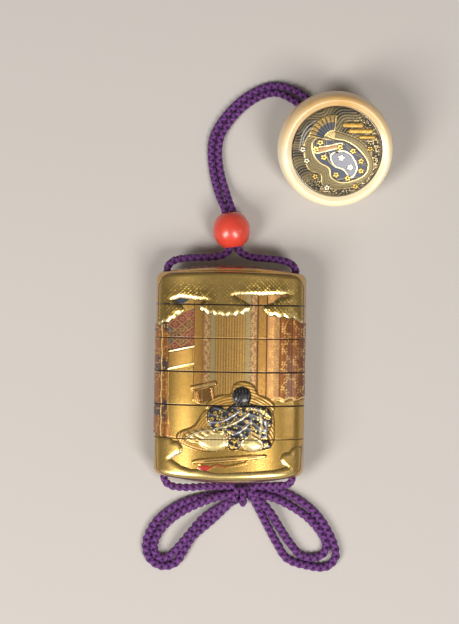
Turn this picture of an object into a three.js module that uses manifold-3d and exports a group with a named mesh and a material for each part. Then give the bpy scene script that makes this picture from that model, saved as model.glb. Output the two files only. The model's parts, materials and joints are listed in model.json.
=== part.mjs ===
// An inro: a flat case of six tiers in gold lacquer, with its silk cord, its sliding bead (ojime) and
// its round toggle (kagamibuta netsuke). It lies on its back. Millimetres, +Z up, +Y along the case
// towards the toggle. The origin is the middle of the small flat on the back of the case.
import * as THREE from 'three';
import { mergeVertices } from 'three/addons/utils/BufferGeometryUtils.js';
import Module from 'manifold-3d';

const wasm = await Module();
wasm.setup();

// Case: overall form
const CASE_WIDTH = 57;
const CASE_THICKNESS = 23;
const SECTION_EXPONENT = 2.2;      // superellipse between an oval and a box
const BACK_FLAT_DEPTH = 0.25;      // taken off the back, so that the case lies still
const END_RISE_WIDE = 3.5;         // how far the ends fall from the middle to the narrow sides
const END_RISE_THICK = 2;          // and to the front and back
const END_EDGE_RADIUS = 2.4;

// Case: tiers, from the lid down
const LID_HEIGHT = 15.2;
const MIDDLE_CASES = 4;
const MIDDLE_HEIGHT = 12.57;
const BOTTOM_HEIGHT = 17.5;
const SEAM_GAP = 0.3;

// Case: the walls inside. A riser is the inner wall that stands up into the tier above.
const TIER_WALL = 2.3;             // in front of and behind a riser
const CHANNEL_WALL = 1.04;         // between a riser and a cord channel
const RISER_EXPONENT = 2.8;
const RISER_WALL = 1.5;
const RISER_HEIGHT = 5;
const RISER_SIDE_GAP = 0.32;
const RISER_TOP_GAP = 0.4;
const TIER_FLOOR = 1.4;
const END_WALL = 2;

// Cord and the holes that it runs through
const CORD_DIAMETER = 2.6;
const CORD_SIDES = 8;
const CORD_GAP = 0.36;             // between the cord and the wall of a hole
const CHANNEL_INSET = 4.1;         // from the side of the case to the middle of a channel

// Bead
const BEAD_DIAMETER = 14.2;
const BEAD_LENGTH = 13.3;
const BEAD_MOUTH_RADIUS = 0.35;
const BEAD_GRIP_GAP = 0.12;        // it grips the two cords closely
const BEAD_CENTRE = new THREE.Vector3(-0.2, 54.95, 7.1);
const BEAD_TURN = 8.4;             // degrees from the case's own line
const CORD_PAIR_GAP = 0.4;         // between the two cords side by side

// Toggle
const BOWL_RADIUS = 21.8;
const BOWL_FOOT_RADIUS = 13;
const BOWL_HEIGHT = 17.4;
const BOWL_WAIST_HEIGHT = 9;
const BOWL_FLOOR = 4;
const BOWL_WALL = 4.3;
const DISC_RADIUS = 16.7;
const DISC_GAP = 0.32;
const DISC_EDGE = 1.3;
const DISC_RISE = 1.5;
const SEAT_DEPTH = 1.9;
const SEAT_WIDTH = 1.5;
const LUG_RADIUS = 2.6;
const LUG_THICKNESS = 1.5;
const TOGGLE_FOOT = new THREE.Vector2(38, 88.7);
const TOGGLE_TILT = 15;            // degrees, because the cord runs under it
const TOGGLE_LEAN = new THREE.Vector2(0.2, -0.98).normalize();
const KNOT_RADIUS = 3.4;

// Bow knot under the case
const WRAP_COUNT = 3;
const WRAP_LENGTH = 8.9;
const WRAP_HEIGHT = 6.1;
const WRAP_WIDTH = 2.8;
const WRAP_ROUND = 0.7;
const BOW_CENTRE = new THREE.Vector2(5.75, -46.6);

// Raised lacquer
const CLOUD_RELIEF = 0.45;
const ROBE_RELIEF = 0.5;
const SLEEVE_RELIEF = 0.85;
const FOLD_RELIEF = 1.15;
const HEAD_RELIEF = 1.5;
const FAN_RELIEF = 0.5;
const DISC_RELIEF = 0.4;
const BACK_CLOUD_INSET = 16;       // the back stays plain inside this half width, where it rests
const SHEET_WIDTH = 57;            // the picture is drawn on a sheet of this size
const SHEET_LENGTH = 83;

const SECTION_SIDES = 40;
const HOLLOW_SIDES = 32;
const HOLE_SIDES = 10;
const BOWL_SIDES = 30;
const BEAD_SIDES = 20;
const CUT = 60;                    // reach of a cutting block, past any side of the case

const halfWidth = CASE_WIDTH / 2;
const halfThick = CASE_THICKNESS / 2;
const axisHeight = halfThick - BACK_FLAT_DEPTH;
const caseLength = LID_HEIGHT + MIDDLE_CASES * MIDDLE_HEIGHT + BOTTOM_HEIGHT;
const halfLength = caseLength / 2;
const cordRadius = CORD_DIAMETER / 2;
const channelOffset = halfWidth - CHANNEL_INSET;
const riserHalfWidth = channelOffset - cordRadius - CORD_GAP - CHANNEL_WALL;
const riserHalfThick = halfThick - TIER_WALL;
const recessDepth = RISER_HEIGHT + RISER_TOP_GAP;
const recessHalfWidth = riserHalfWidth + RISER_SIDE_GAP;
const recessHalfThick = riserHalfThick + RISER_SIDE_GAP;
const pairRadius = CORD_DIAMETER + CORD_PAIR_GAP / 2;   // of two cords side by side
const footHoleRadius = pairRadius + CORD_GAP;
const beadHoleRadius = pairRadius + BEAD_GRIP_GAP;

const gold = new THREE.MeshStandardMaterial({ color: 0xb08c3c, metalness: 0.85, roughness: 0.33 });
const ivory = new THREE.MeshStandardMaterial({ color: 0xe8cf8e, metalness: 0, roughness: 0.3 });
const coral = new THREE.MeshStandardMaterial({ color: 0xd9442f, metalness: 0, roughness: 0.2 });
const darkAlloy = new THREE.MeshStandardMaterial({ color: 0x2c2c30, metalness: 0.8, roughness: 0.4 });
const silk = new THREE.MeshStandardMaterial({ color: 0x4a2376, metalness: 0, roughness: 0.75 });

// Booleans

function toSolid(geometry) {
  const bare = geometry.clone();
  bare.deleteAttribute('normal');
  bare.deleteAttribute('uv');
  const merged = mergeVertices(bare, 1e-4);
  const vertProperties = new Float32Array(merged.attributes.position.array);
  const triVerts = new Uint32Array(merged.index.array);
  return new wasm.Manifold(new wasm.Mesh({ numProp: 3, vertProperties, triVerts }));
}

function toGeometry(solid) {
  const mesh = solid.getMesh();
  const geometry = new THREE.BufferGeometry();
  geometry.setAttribute('position', new THREE.BufferAttribute(new Float32Array(mesh.vertProperties), 3));
  geometry.setIndex(new THREE.BufferAttribute(new Uint32Array(mesh.triVerts), 1));
  geometry.computeVertexNormals();
  return geometry;
}

const group = new THREE.Group();

function place(name, geometry, material, parent = group) {
  const mesh = new THREE.Mesh(geometry, material);
  mesh.name = name;
  parent.add(mesh);
}

// Shapes on a superellipse section

function superPoint(angle, a, b, exponent) {
  const c = Math.cos(angle);
  const s = Math.sin(angle);
  const x = a * Math.sign(c) * Math.abs(c) ** (2 / exponent);
  const z = b * Math.sign(s) * Math.abs(s) ** (2 / exponent);
  return [x, z];
}

// A sphere's rings of vertices are moved onto the rings given, from the top down. Each ring has the
// inset of its outline from the section, a share of that outline, and its height over any x and z.
function ringedSolid(a, b, exponent, rings, sides = HOLLOW_SIDES) {
  const sphere = new THREE.SphereGeometry(1, sides, rings.length - 1);
  const position = sphere.attributes.position;
  const perRing = sides + 1;
  for (let i = 0; i < position.count; i += 1) {
    const { inset, share, height } = rings[Math.floor(i / perRing)];
    const angle = ((i % perRing) % sides) / sides * 2 * Math.PI;
    const [x, z] = superPoint(angle, a - inset, b - inset, exponent);
    position.setXYZ(i, -x * share, height(x * share, z * share), z * share);
  }
  return toSolid(sphere.translate(0, 0, axisHeight));
}

// The rings of an end that domes to its middle, from the pole out to the side, with a rounded edge.
function domedEnd(height, edgeRadius, direction) {
  const rings = [0, 0.5].map((share) => ({ inset: edgeRadius, share, height }));
  const edgeSteps = edgeRadius < END_EDGE_RADIUS ? [90, 0] : [90, 45, 0];
  for (const degrees of edgeSteps) {
    const angle = THREE.MathUtils.degToRad(degrees);
    const inset = edgeRadius * (1 - Math.cos(angle));
    const fall = edgeRadius * (1 - Math.sin(angle));
    rings.push({ inset, share: 1, height: (x, z) => height(x, z) - direction * fall });
  }
  return rings;
}

function flatEnd(y) {
  const height = () => y;
  return [{ inset: 0, share: 0, height }, { inset: 0, share: 1, height }];
}

function endHeight(x, z) {
  return halfLength - END_RISE_WIDE * (x / halfWidth) ** 2 - END_RISE_THICK * (z / halfThick) ** 2;
}

// The outside of the whole case, grown by the height of the raised lacquer on it.
function caseForm(grow) {
  const top = domedEnd((x, z) => endHeight(x, z) + grow, END_EDGE_RADIUS, 1);
  const bottom = domedEnd((x, z) => -endHeight(x, z) - grow, END_EDGE_RADIUS, -1);
  const rings = [...top, ...bottom.reverse()];
  return ringedSolid(halfWidth + grow, halfThick + grow, SECTION_EXPONENT, rings, SECTION_SIDES);
}

// A flat-ended prism on the riser's section, between two heights.
function riserPrism(shrink, yLow, yHigh) {
  const rings = [...flatEnd(yHigh), ...flatEnd(yLow).reverse()];
  return ringedSolid(riserHalfWidth - shrink, riserHalfThick - shrink, RISER_EXPONENT, rings);
}

function block(yLow, yHigh, zLow = -CUT, zHigh = CUT) {
  const box = new THREE.BoxGeometry(2 * CUT, yHigh - yLow, zHigh - zLow);
  return toSolid(box.translate(0, (yLow + yHigh) / 2, (zLow + zHigh) / 2));
}

// Outlines drawn on the picture sheet, in millimetres from its middle

function sheetPoint([x, y]) {
  return new THREE.Vector2(x * CASE_WIDTH / SHEET_WIDTH, y * caseLength / SHEET_LENGTH);
}

// A bank of cloud: straight runs, and between the points of each scalloped run, round lobes.
function cloudOutline(runs) {
  const points = [];
  for (const { scallops, line } of runs) {
    if (line) points.push(...line.map(sheetPoint));
    if (scallops) points.push(...lobes(scallops.map(sheetPoint)));
  }
  return new THREE.Shape(points);
}

function lobes(cusps) {
  const LOBE_RISE = 0.24;
  const LOBE_STEPS = 2;
  const points = [];
  for (let i = 0; i + 1 < cusps.length; i += 1) {
    const along = cusps[i + 1].clone().sub(cusps[i]);
    const out = new THREE.Vector2(along.y, -along.x).multiplyScalar(LOBE_RISE);
    for (let step = 0; step < LOBE_STEPS; step += 1) {
      const t = step / LOBE_STEPS;
      points.push(cusps[i].clone().addScaledVector(along, t).addScaledVector(out, Math.sin(Math.PI * t)));
    }
  }
  points.push(cusps[cusps.length - 1]);
  return points;
}

// A closed smooth outline through a few points.
function smoothShape(points, steps = 22) {
  const ring = points.map(sheetPoint).map((p) => new THREE.Vector3(p.x, p.y, 0));
  const curve = new THREE.CatmullRomCurve3(ring, true);
  const outline = curve.getPoints(steps).slice(0, -1);
  return new THREE.Shape(outline.map((p) => new THREE.Vector2(p.x, p.y)));
}

// What an outline covers on one face of the case, up to a height above its surface.
function raised(shape, relief, face = 1) {
  const prism = new THREE.ExtrudeGeometry(shape, { depth: CUT, bevelEnabled: false });
  if (face < 0) prism.translate(0, 0, -CUT);
  return toSolid(prism.translate(0, 0, axisHeight)).intersect(caseForm(relief));
}

// Clouds

const upperCloud = cloudOutline([
  { line: [[-32, 50]] },
  { scallops: [[-32, 19.2], [-28.4, 18.9], [-25.2, 19.7], [-22.4, 20.8], [-20.2, 22.6], [-17.6, 24.2]] },
  { line: [[-18.7, 26], [-22.2, 27.8], [-18.9, 28.9], [-14.1, 28.3], [-9, 27.9], [-11.2, 26.7]] },
  { scallops: [[-11.6, 25.6], [-9.6, 23.9], [-6.6, 23.2], [-3.6, 22.8], [-0.4, 22.6], [2.6, 23.1],
    [5.4, 23.9], [7.6, 26]] },
  { line: [[0.9, 29.7], [3, 30], [10.9, 30.1], [18, 30.6], [22.1, 30.5], [18, 28.8], [15.9, 27.5]] },
  { scallops: [[12.1, 25.5], [12.9, 24.1], [16.6, 22.9], [19.8, 22.5], [23.4, 22.1], [32, 21.6]] },
  { line: [[32, 50]] },
]);

const lowerCloud = cloudOutline([
  { line: [[32, -50]] },
  { scallops: [[32, -26.8], [27, -27.3], [22.8, -29], [19.6, -31.6]] },
  { line: [[20.4, -33], [22.4, -34.3], [17.4, -35.5], [2.8, -36.6], [-3.9, -37.1], [-7.2, -36.5]] },
  { line: [[-10.6, -35.5], [-13.9, -35.6], [-17.7, -34.4], [-21.9, -31.9]] },
  { scallops: [[-19.6, -30.2], [-17.5, -27.6], [-21, -25.2], [-25.4, -24.2], [-32, -23.8]] },
  { line: [[-32, -50]] },
]);

const backCloudLeft = cloudOutline([
  { line: [[-BACK_CLOUD_INSET, 50], [-32, 50]] },
  { scallops: [[-32, 16], [-26, 17], [-20.5, 20.5], [-BACK_CLOUD_INSET, 27]] },
]);

const backCloudRight = cloudOutline([
  { line: [[32, 50], [BACK_CLOUD_INSET, 50]] },
  { scallops: [[BACK_CLOUD_INSET, 30], [20, 24], [25.5, 21], [32, 21.5]] },
]);

const backCloudLow = cloudOutline([
  { line: [[BACK_CLOUD_INSET, -50], [32, -50]] },
  { scallops: [[32, -22], [26, -23], [20.5, -27], [BACK_CLOUD_INSET, -34]] },
]);

// A seated court figure seen from behind its shoulder: a wide robe, a sleeve laid out to each side,
// folds, a head with long hair, and a folded fan on the floor in front.

const robe = smoothShape([[-18, -25.6], [-19, -22], [-13, -19], [-9, -13.5], [-2, -11], [4, -8.6],
  [11, -8.2], [15.6, -12], [17, -19], [16, -26], [9, -28.4], [0, -27], [-9, -28.6]], 26);
const sleeves = [
  smoothShape([[-16.5, -24.6], [-15.6, -21.4], [-9, -19.6], [-3, -17.2], [-1, -20.6], [-6.5, -25.6]], 12),
  smoothShape([[6.5, -16], [9, -11.2], [13, -11.5], [15.2, -17], [14.4, -24.2], [9.4, -25.6]], 12),
];
const shoulders = smoothShape([[-2.5, -20.5], [-1.5, -13.6], [3.5, -9.6], [8.6, -11], [9.2, -18.5], [4.6, -25]], 12);
const head = smoothShape([[1.4, -9.2], [1.9, -5.6], [4.9, -4.2], [7.6, -6], [7.6, -9.6], [4.6, -11.4]], 10);
const folds = [
  [[-14, -23.4], [-6, -21.6]], [[-8.6, -26.2], [-1, -23.8]], [[-4.6, -16.2], [0.4, -13.2]],
  [[10.6, -23.6], [12.4, -14.6]], [[2.4, -25.8], [6.2, -26.4]],
];
const fan = smoothShape([[-12.5, -33.3], [-12.2, -31.9], [-4, -31.1], [8, -30.6], [8.2, -31.8], [-3.5, -32.6]], 10);
const lowTable = [
  [[-14.6, -4.4], [-5.2, -2.2], [-4.6, -3.6], [-14, -5.8]],
  [[-12.8, -6], [-11.8, -5.8], [-11, -10.8], [-12, -11]],
  [[-7.2, -4.6], [-6.2, -4.4], [-5.4, -9.2], [-6.4, -9.4]],
];

function foldShape([start, end]) {
  const FOLD_HALF_WIDTH = 0.9;
  const along = new THREE.Vector2(end[0] - start[0], end[1] - start[1]);
  const across = new THREE.Vector2(-along.y, along.x).setLength(FOLD_HALF_WIDTH);
  const middle = [start[0] + along.x / 2, start[1] + along.y / 2];
  return smoothShape([
    start, [middle[0] - across.x, middle[1] - across.y], end, [middle[0] + across.x, middle[1] + across.y],
  ], 8);
}

function reliefOnCase() {
  const parts = [
    raised(upperCloud, CLOUD_RELIEF), raised(lowerCloud, CLOUD_RELIEF),
    raised(backCloudLeft, CLOUD_RELIEF, -1), raised(backCloudRight, CLOUD_RELIEF, -1),
    raised(backCloudLow, CLOUD_RELIEF, -1),
    raised(robe, ROBE_RELIEF), raised(shoulders, SLEEVE_RELIEF), raised(head, HEAD_RELIEF),
    raised(fan, FAN_RELIEF),
    ...sleeves.map((shape) => raised(shape, SLEEVE_RELIEF)),
    ...folds.map((line) => raised(foldShape(line), FOLD_RELIEF)),
    ...lowTable.map((corners) => raised(new THREE.Shape(corners.map(sheetPoint)), CLOUD_RELIEF)),
  ];
  return parts.reduce((sum, part) => sum.add(part));
}

// Tiers

function channel(x) {
  const radius = (cordRadius + CORD_GAP) / Math.cos(Math.PI / HOLE_SIDES);
  const rod = new THREE.CylinderGeometry(radius, radius, 2 * CUT, HOLE_SIDES);
  return toSolid(rod.translate(x, 0, axisHeight));
}

function buildCase() {
  const outside = caseForm(0).add(reliefOnCase()).subtract(block(-CUT, CUT, -CUT, 0));
  const channels = channel(channelOffset).add(channel(-channelOffset));
  const seams = Array.from({ length: MIDDLE_CASES + 1 }, (_, i) => halfLength - LID_HEIGHT - i * MIDDLE_HEIGHT);
  const halfGap = SEAM_GAP / 2;

  const tierBlock = (low, high) => outside.intersect(block(low, high)).subtract(channels);
  const underRecess = (low) => riserPrism(-RISER_SIDE_GAP, low - 1, low + recessDepth - halfGap);
  const addRiser = (tier, high) => tier.add(riserPrism(0, high - 1, high + RISER_HEIGHT));

  // The lid is hollow up to a ceiling that follows its domed top.
  const ceiling = domedEnd((x, z) => endHeight(x, z) - END_WALL, 1, 1);
  const lidHollow = ringedSolid(recessHalfWidth, recessHalfThick, RISER_EXPONENT,
    [...ceiling, ...flatEnd(seams[0] - 1).reverse()]);
  const lid = tierBlock(seams[0] + halfGap, CUT).subtract(lidHollow);
  place('lid', toGeometry(lid), gold);

  for (let i = 0; i < MIDDLE_CASES; i += 1) {
    const high = seams[i] - halfGap;
    const low = seams[i + 1] + halfGap;
    const floorTop = low + recessDepth - halfGap + TIER_FLOOR;
    const room = riserPrism(RISER_WALL, floorTop, high + RISER_HEIGHT + 1);
    const tier = addRiser(tierBlock(low, high), high).subtract(room).subtract(underRecess(low));
    place(`case_${i + 1}`, toGeometry(tier), gold);
  }

  // The bottom case has a floor that follows its domed underside.
  const high = seams[MIDDLE_CASES] - halfGap;
  const floor = domedEnd((x, z) => -endHeight(x, z) + END_WALL, 1, -1);
  const room = ringedSolid(riserHalfWidth - RISER_WALL, riserHalfThick - RISER_WALL, RISER_EXPONENT,
    [...flatEnd(high + RISER_HEIGHT + 1), ...floor.reverse()]);
  const bottom = addRiser(tierBlock(-CUT, high), high).subtract(room);
  place('bottom_case', toGeometry(bottom), gold);
}

// Bead, turned on the line of its cord hole

function buildBead() {
  const flat = BEAD_LENGTH / 2;
  const mouth = beadHoleRadius + BEAD_MOUTH_RADIUS;
  // An ellipse through the widest girth and the rim of each mouth.
  const reach = flat / Math.sqrt(1 - (mouth / (BEAD_DIAMETER / 2)) ** 2);
  const ARC_STEPS = 8;
  const end = Math.asin(flat / reach);
  const profile = [new THREE.Vector2(beadHoleRadius, -flat + BEAD_MOUTH_RADIUS)];
  for (let i = 0; i <= ARC_STEPS; i += 1) {
    const angle = -end + 2 * end * i / ARC_STEPS;
    profile.push(new THREE.Vector2(BEAD_DIAMETER / 2 * Math.cos(angle), reach * Math.sin(angle)));
  }
  profile.push(new THREE.Vector2(beadHoleRadius, flat - BEAD_MOUTH_RADIUS));
  profile.push(profile[0].clone());
  const bead = new THREE.LatheGeometry(profile, BEAD_SIDES);
  const holder = new THREE.Group();
  holder.position.copy(BEAD_CENTRE);
  holder.rotation.z = THREE.MathUtils.degToRad(BEAD_TURN);
  place('ojime_bead', toGeometry(toSolid(bead)), coral, holder);
  group.add(holder);
}

// Toggle: a turned bowl and a domed metal disc let into its rim, with a lug for the cord

function buildToggle() {
  const seatHeight = BOWL_HEIGHT - SEAT_DEPTH;
  const seatRadius = DISC_RADIUS + DISC_GAP;
  const roomRadius = DISC_RADIUS - SEAT_WIDTH;
  const rimRadius = (BOWL_RADIUS - seatRadius) / 2;
  const side = new THREE.CatmullRomCurve3([
    new THREE.Vector3(BOWL_FOOT_RADIUS, 0, 0),
    new THREE.Vector3(BOWL_FOOT_RADIUS + 0.75 * (BOWL_RADIUS - BOWL_FOOT_RADIUS), BOWL_WAIST_HEIGHT * 0.42, 0),
    new THREE.Vector3(BOWL_RADIUS, BOWL_WAIST_HEIGHT, 0),
    new THREE.Vector3(BOWL_RADIUS - 0.55, BOWL_HEIGHT - rimRadius * 0.95, 0),
    new THREE.Vector3(BOWL_RADIUS - rimRadius * 0.95, BOWL_HEIGHT, 0),
    new THREE.Vector3(seatRadius + 0.25, BOWL_HEIGHT - 0.75, 0),
  ]).getPoints(10).map((p) => new THREE.Vector2(p.x, p.y));
  const profile = [
    new THREE.Vector2(footHoleRadius, 0), ...side,
    new THREE.Vector2(seatRadius, seatHeight + DISC_EDGE / 2),
    new THREE.Vector2(seatRadius, seatHeight),
    new THREE.Vector2(roomRadius, seatHeight),
    new THREE.Vector2(roomRadius, BOWL_WAIST_HEIGHT),
    new THREE.Vector2(BOWL_RADIUS - BOWL_WALL - 4.6, BOWL_FLOOR + 0.6),
    new THREE.Vector2(BOWL_RADIUS - BOWL_WALL - 8, BOWL_FLOOR),
    new THREE.Vector2(footHoleRadius, BOWL_FLOOR),
    new THREE.Vector2(footHoleRadius, 0),
  ];
  const tilt = THREE.MathUtils.degToRad(TOGGLE_TILT);
  const holder = new THREE.Group();
  holder.position.set(TOGGLE_FOOT.x, TOGGLE_FOOT.y, BOWL_FOOT_RADIUS * Math.sin(tilt));
  holder.quaternion.setFromAxisAngle(new THREE.Vector3(-TOGGLE_LEAN.y, TOGGLE_LEAN.x, 0), tilt);
  group.add(holder);
  const bowl = toSolid(new THREE.LatheGeometry(profile, BOWL_SIDES).rotateX(Math.PI / 2));
  place('netsuke_bowl', toGeometry(bowl), ivory, holder);

  const discLow = seatHeight + DISC_GAP;
  const dome = (grow) => {
    const profileOut = [new THREE.Vector2(0, 0), new THREE.Vector2(DISC_RADIUS, 0)];
    for (const share of [1, 0.6, 0]) {
      profileOut.push(new THREE.Vector2(DISC_RADIUS * share, DISC_EDGE + grow + DISC_RISE * (1 - share * share)));
    }
    return toSolid(new THREE.LatheGeometry(profileOut, BOWL_SIDES).rotateX(Math.PI / 2));
  };
  let disc = dome(0);
  for (const shape of discMotifs()) {
    const prism = new THREE.ExtrudeGeometry(shape, { depth: CUT, bevelEnabled: false });
    disc = disc.add(toSolid(prism).intersect(dome(DISC_RELIEF)));
  }
  const arch = new THREE.TorusGeometry(LUG_RADIUS, LUG_THICKNESS / 2, 6, 12).rotateX(Math.PI / 2);
  disc = disc.add(toSolid(arch));
  place('netsuke_disc', toGeometry(disc.translate(0, 0, discLow)), darkAlloy, holder);

  const knot = new THREE.SphereGeometry(KNOT_RADIUS, 12, 7).scale(1, 1, 0.8);
  const knotHeight = BOWL_FLOOR + KNOT_RADIUS * 0.8 + 0.5;
  place('netsuke_knot', toGeometry(toSolid(knot.translate(0, 0, knotHeight))), silk, holder);
}

// The disc's low relief: a dancer with a wide hat and long sleeves, over rolling waves.
function discMotifs() {
  const ring = new THREE.Shape().absellipse(-3.2, 5.6, 5.2, 3.3, 0, 2 * Math.PI, false, 0.5);
  const outline = (points) => {
    const curve = new THREE.SplineCurve([...points, points[0]].map(([x, y]) => new THREE.Vector2(x, y)));
    return new THREE.Shape(curve.getPoints(13).slice(0, -1));
  };
  const hat = new THREE.Shape(ring.getPoints(8));
  const gown = outline([[-1, 3.2], [3.4, 4.6], [8.2, 7.4], [9.4, 5], [5, 0.4], [6, -6.4], [0.5, -8.2],
    [-3.4, -5.4], [-3, -0.5], [-8.8, -2.4], [-9.6, -0.2], [-4.4, 2.2]]);
  const wave = outline([[-11.6, -6.2], [-8, -7.6], [-3, -11], [3.4, -11.2], [9.6, -8.8], [11.2, -6.6],
    [9, -11], [2, -13.8], [-5.2, -13.2], [-10, -10.2]]);
  return [hat, gown, wave];
}

// Cords. A ring of each tube stands at each point of its route.

class Route extends THREE.CatmullRomCurve3 {
  constructor(points) {
    super(points.map((p) => new THREE.Vector3(...p)), false, 'centripetal');
  }

  getUtoTmapping(u) {
    return u;
  }
}

const routes = {
  cord_left: [
    [39.4, 88.5, 6.0], [39.3, 89.3, 4.1], [38.9, 90.0, 2.3], [37.9, 91.6, 1.4], [30.6, 104.3, 1.4],
    [24.0, 109.6, 1.4], [15.7, 111.5, 1.4], [6.6, 108.5, 1.4], [-2.3, 100.9, 1.4],
    [-8.2, 90.7, 1.4], [-8.1, 79.0, 1.4], [-5.3, 68.2, 3.0], [-3.4, 63.6, 6.3], [-2.7, 61.5, 7.1],
    [-0.8, 48.3, 7.1], [-1.9, 46.3, 7.4], [-4.8, 44.9, 7.8], [-17.4, 43.9, 9.4],
    [-22.0, 42.8, 10.6], [0.2 - channelOffset, 40.6, 11.2], [-channelOffset, 38.4, axisHeight],
    [-channelOffset, -38.4, axisHeight], [0.2 - channelOffset, -40.4, 11.0], [-22.4, -42.6, 10.0], [-17.6, -43.7, 8.0], [-8.4, -43.5, 5.6], [1.0, -43.3, 4.7],
  ],
  cord_right: [
    [36.9, 86.9, 6.0], [36.8, 87.6, 4.1], [36.4, 88.3, 2.3], [35.4, 89.9, 1.4], [28.0, 101.4, 1.4],
    [22.3, 106.0, 1.4], [15.8, 108.4, 1.4], [8.2, 105.9, 1.4], [0.1, 98.9, 1.4],
    [-5.1, 90.1, 1.4], [-5.0, 79.4, 1.4], [-2.1, 69.0, 3.0], [-0.3, 64.0, 6.3], [0.3, 61.9, 7.1],
    [2.2, 48.7, 7.1], [3.4, 46.6, 7.4], [6.6, 45.0, 7.8], [17.7, 43.8, 9.4],
    [22.1, 42.6, 10.6], [channelOffset - 0.2, 40.6, 11.2], [channelOffset, 38.4, axisHeight],
    [channelOffset, -38.4, axisHeight], [channelOffset - 0.2, -40.2, 11.0], [22.6, -42.0, 10.0], [18.4, -42.6, 8.2], [10.6, -43.3, 4.9],
  ],
  bow_left_outer: [
    [1.0, -46.3, 1.4], [-6.1, -47.3, 1.4], [-19.2, -51.2, 1.4], [-27.9, -58.2, 1.4], [-31.3, -66.4, 1.4],
    [-30.0, -71.8, 1.4], [-25.4, -74.9, 1.4], [-20.1, -73.8, 1.4], [-13.5, -63.7, 1.4], [-6.5, -57.4, 1.4],
    [0.6, -50.2, 1.4],
  ],
  bow_left_inner: [
    [1.0, -46.6, 4.3], [-5.8, -48.2, 4.2], [-18.3, -54.3, 1.4], [-25.4, -60.6, 1.4], [-28.2, -66.6, 1.4],
    [-27.4, -70.4, 1.4], [-24.6, -71.9, 1.4], [-21.6, -70.4, 2.0], [-15.2, -62.8, 4.2], [-8.8, -55.6, 2.4],
    [0.6, -49.6, 4.3],
  ],
  bow_right_outer: [
    [10.5, -45.2, 1.4], [20.4, -45.4, 1.4], [33.6, -53.2, 1.4], [41.2, -65.2, 1.4], [41.9, -70.6, 1.4],
    [38.4, -74.3, 1.4], [31.0, -73.9, 1.4], [23.4, -71.4, 1.4], [19.6, -66.0, 1.4], [13.0, -54.0, 1.4],
    [10.9, -49.6, 1.4],
  ],
  bow_right_inner: [
    [10.6, -46.4, 4.4], [18.6, -48.6, 2.6], [31.4, -56.8, 1.4], [37.6, -65.6, 1.4], [37.2, -69.2, 1.4],
    [33.6, -70.8, 1.4], [28.6, -69.9, 1.4], [23.8, -64.6, 1.4], [14.6, -51.0, 3.8], [10.8, -48.6, 4.5],
  ],
};

function buildCords() {
  for (const [name, points] of Object.entries(routes)) {
    const section = new THREE.Shape().absarc(0, 0, cordRadius, 0, 2 * Math.PI);
    const tube = new THREE.ExtrudeGeometry(new THREE.Shape(section.getSpacedPoints(CORD_SIDES).slice(0, -1)), {
      extrudePath: new Route(points), steps: points.length - 1, bevelEnabled: false,
    });
    place(name, toGeometry(toSolid(tube)), silk);
  }
}

// The bow's knot: turns of cord side by side around the middle of the bow.
function buildBowKnot() {
  const overlap = 0.15;
  const wrap = () => {
    const halfLong = WRAP_LENGTH / 2 - WRAP_ROUND;
    const halfHigh = WRAP_HEIGHT / 2 - WRAP_ROUND;
    const corner = halfHigh * 0.8;
    const outline = new THREE.Shape();
    for (const [sx, sy, start] of [[1, -1, -0.5], [1, 1, 0], [-1, 1, 0.5], [-1, -1, 1]]) {
      outline.absarc(sx * (halfLong - corner), sy * (halfHigh - corner), corner, start * Math.PI,
        (start + 0.5) * Math.PI);
    }
    const points = outline.getPoints(2);
    const depth = WRAP_WIDTH + overlap - 2 * WRAP_ROUND;
    const solid = new THREE.ExtrudeGeometry(new THREE.Shape(points), {
      depth, bevelThickness: WRAP_ROUND, bevelSize: WRAP_ROUND, bevelSegments: 1,
    });
    return solid.translate(0, 0, -depth / 2).rotateX(Math.PI / 2).rotateZ(Math.PI / 2);
  };
  const pitch = WRAP_WIDTH;
  const turns = Array.from({ length: WRAP_COUNT }, (_, i) => {
    const x = BOW_CENTRE.x + (i - (WRAP_COUNT - 1) / 2) * pitch;
    return toSolid(wrap().translate(x, BOW_CENTRE.y, WRAP_HEIGHT / 2 + 0.05));
  });
  place('bow_knot', toGeometry(turns.reduce((sum, turn) => sum.add(turn))), silk);
}

buildCase();
buildBead();
buildToggle();
buildCords();
buildBowKnot();

export default group;
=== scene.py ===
# %% [markdown]
# A lacquer inro, its silk cord, its coral bead and its toggle
#
# An inro is a stack of small trays that slide together under a lid. A silk cord runs down
# channels in the sides, through a bead that tightens it, up to a toggle that hung over a sash.
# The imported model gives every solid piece. This lesson dresses each one, in the same place.

# %% Load the frame
import bpy
import bmesh
import json
import math
import numpy as np
from mathutils import Matrix, Vector
from mathutils.kdtree import KDTree

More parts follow.
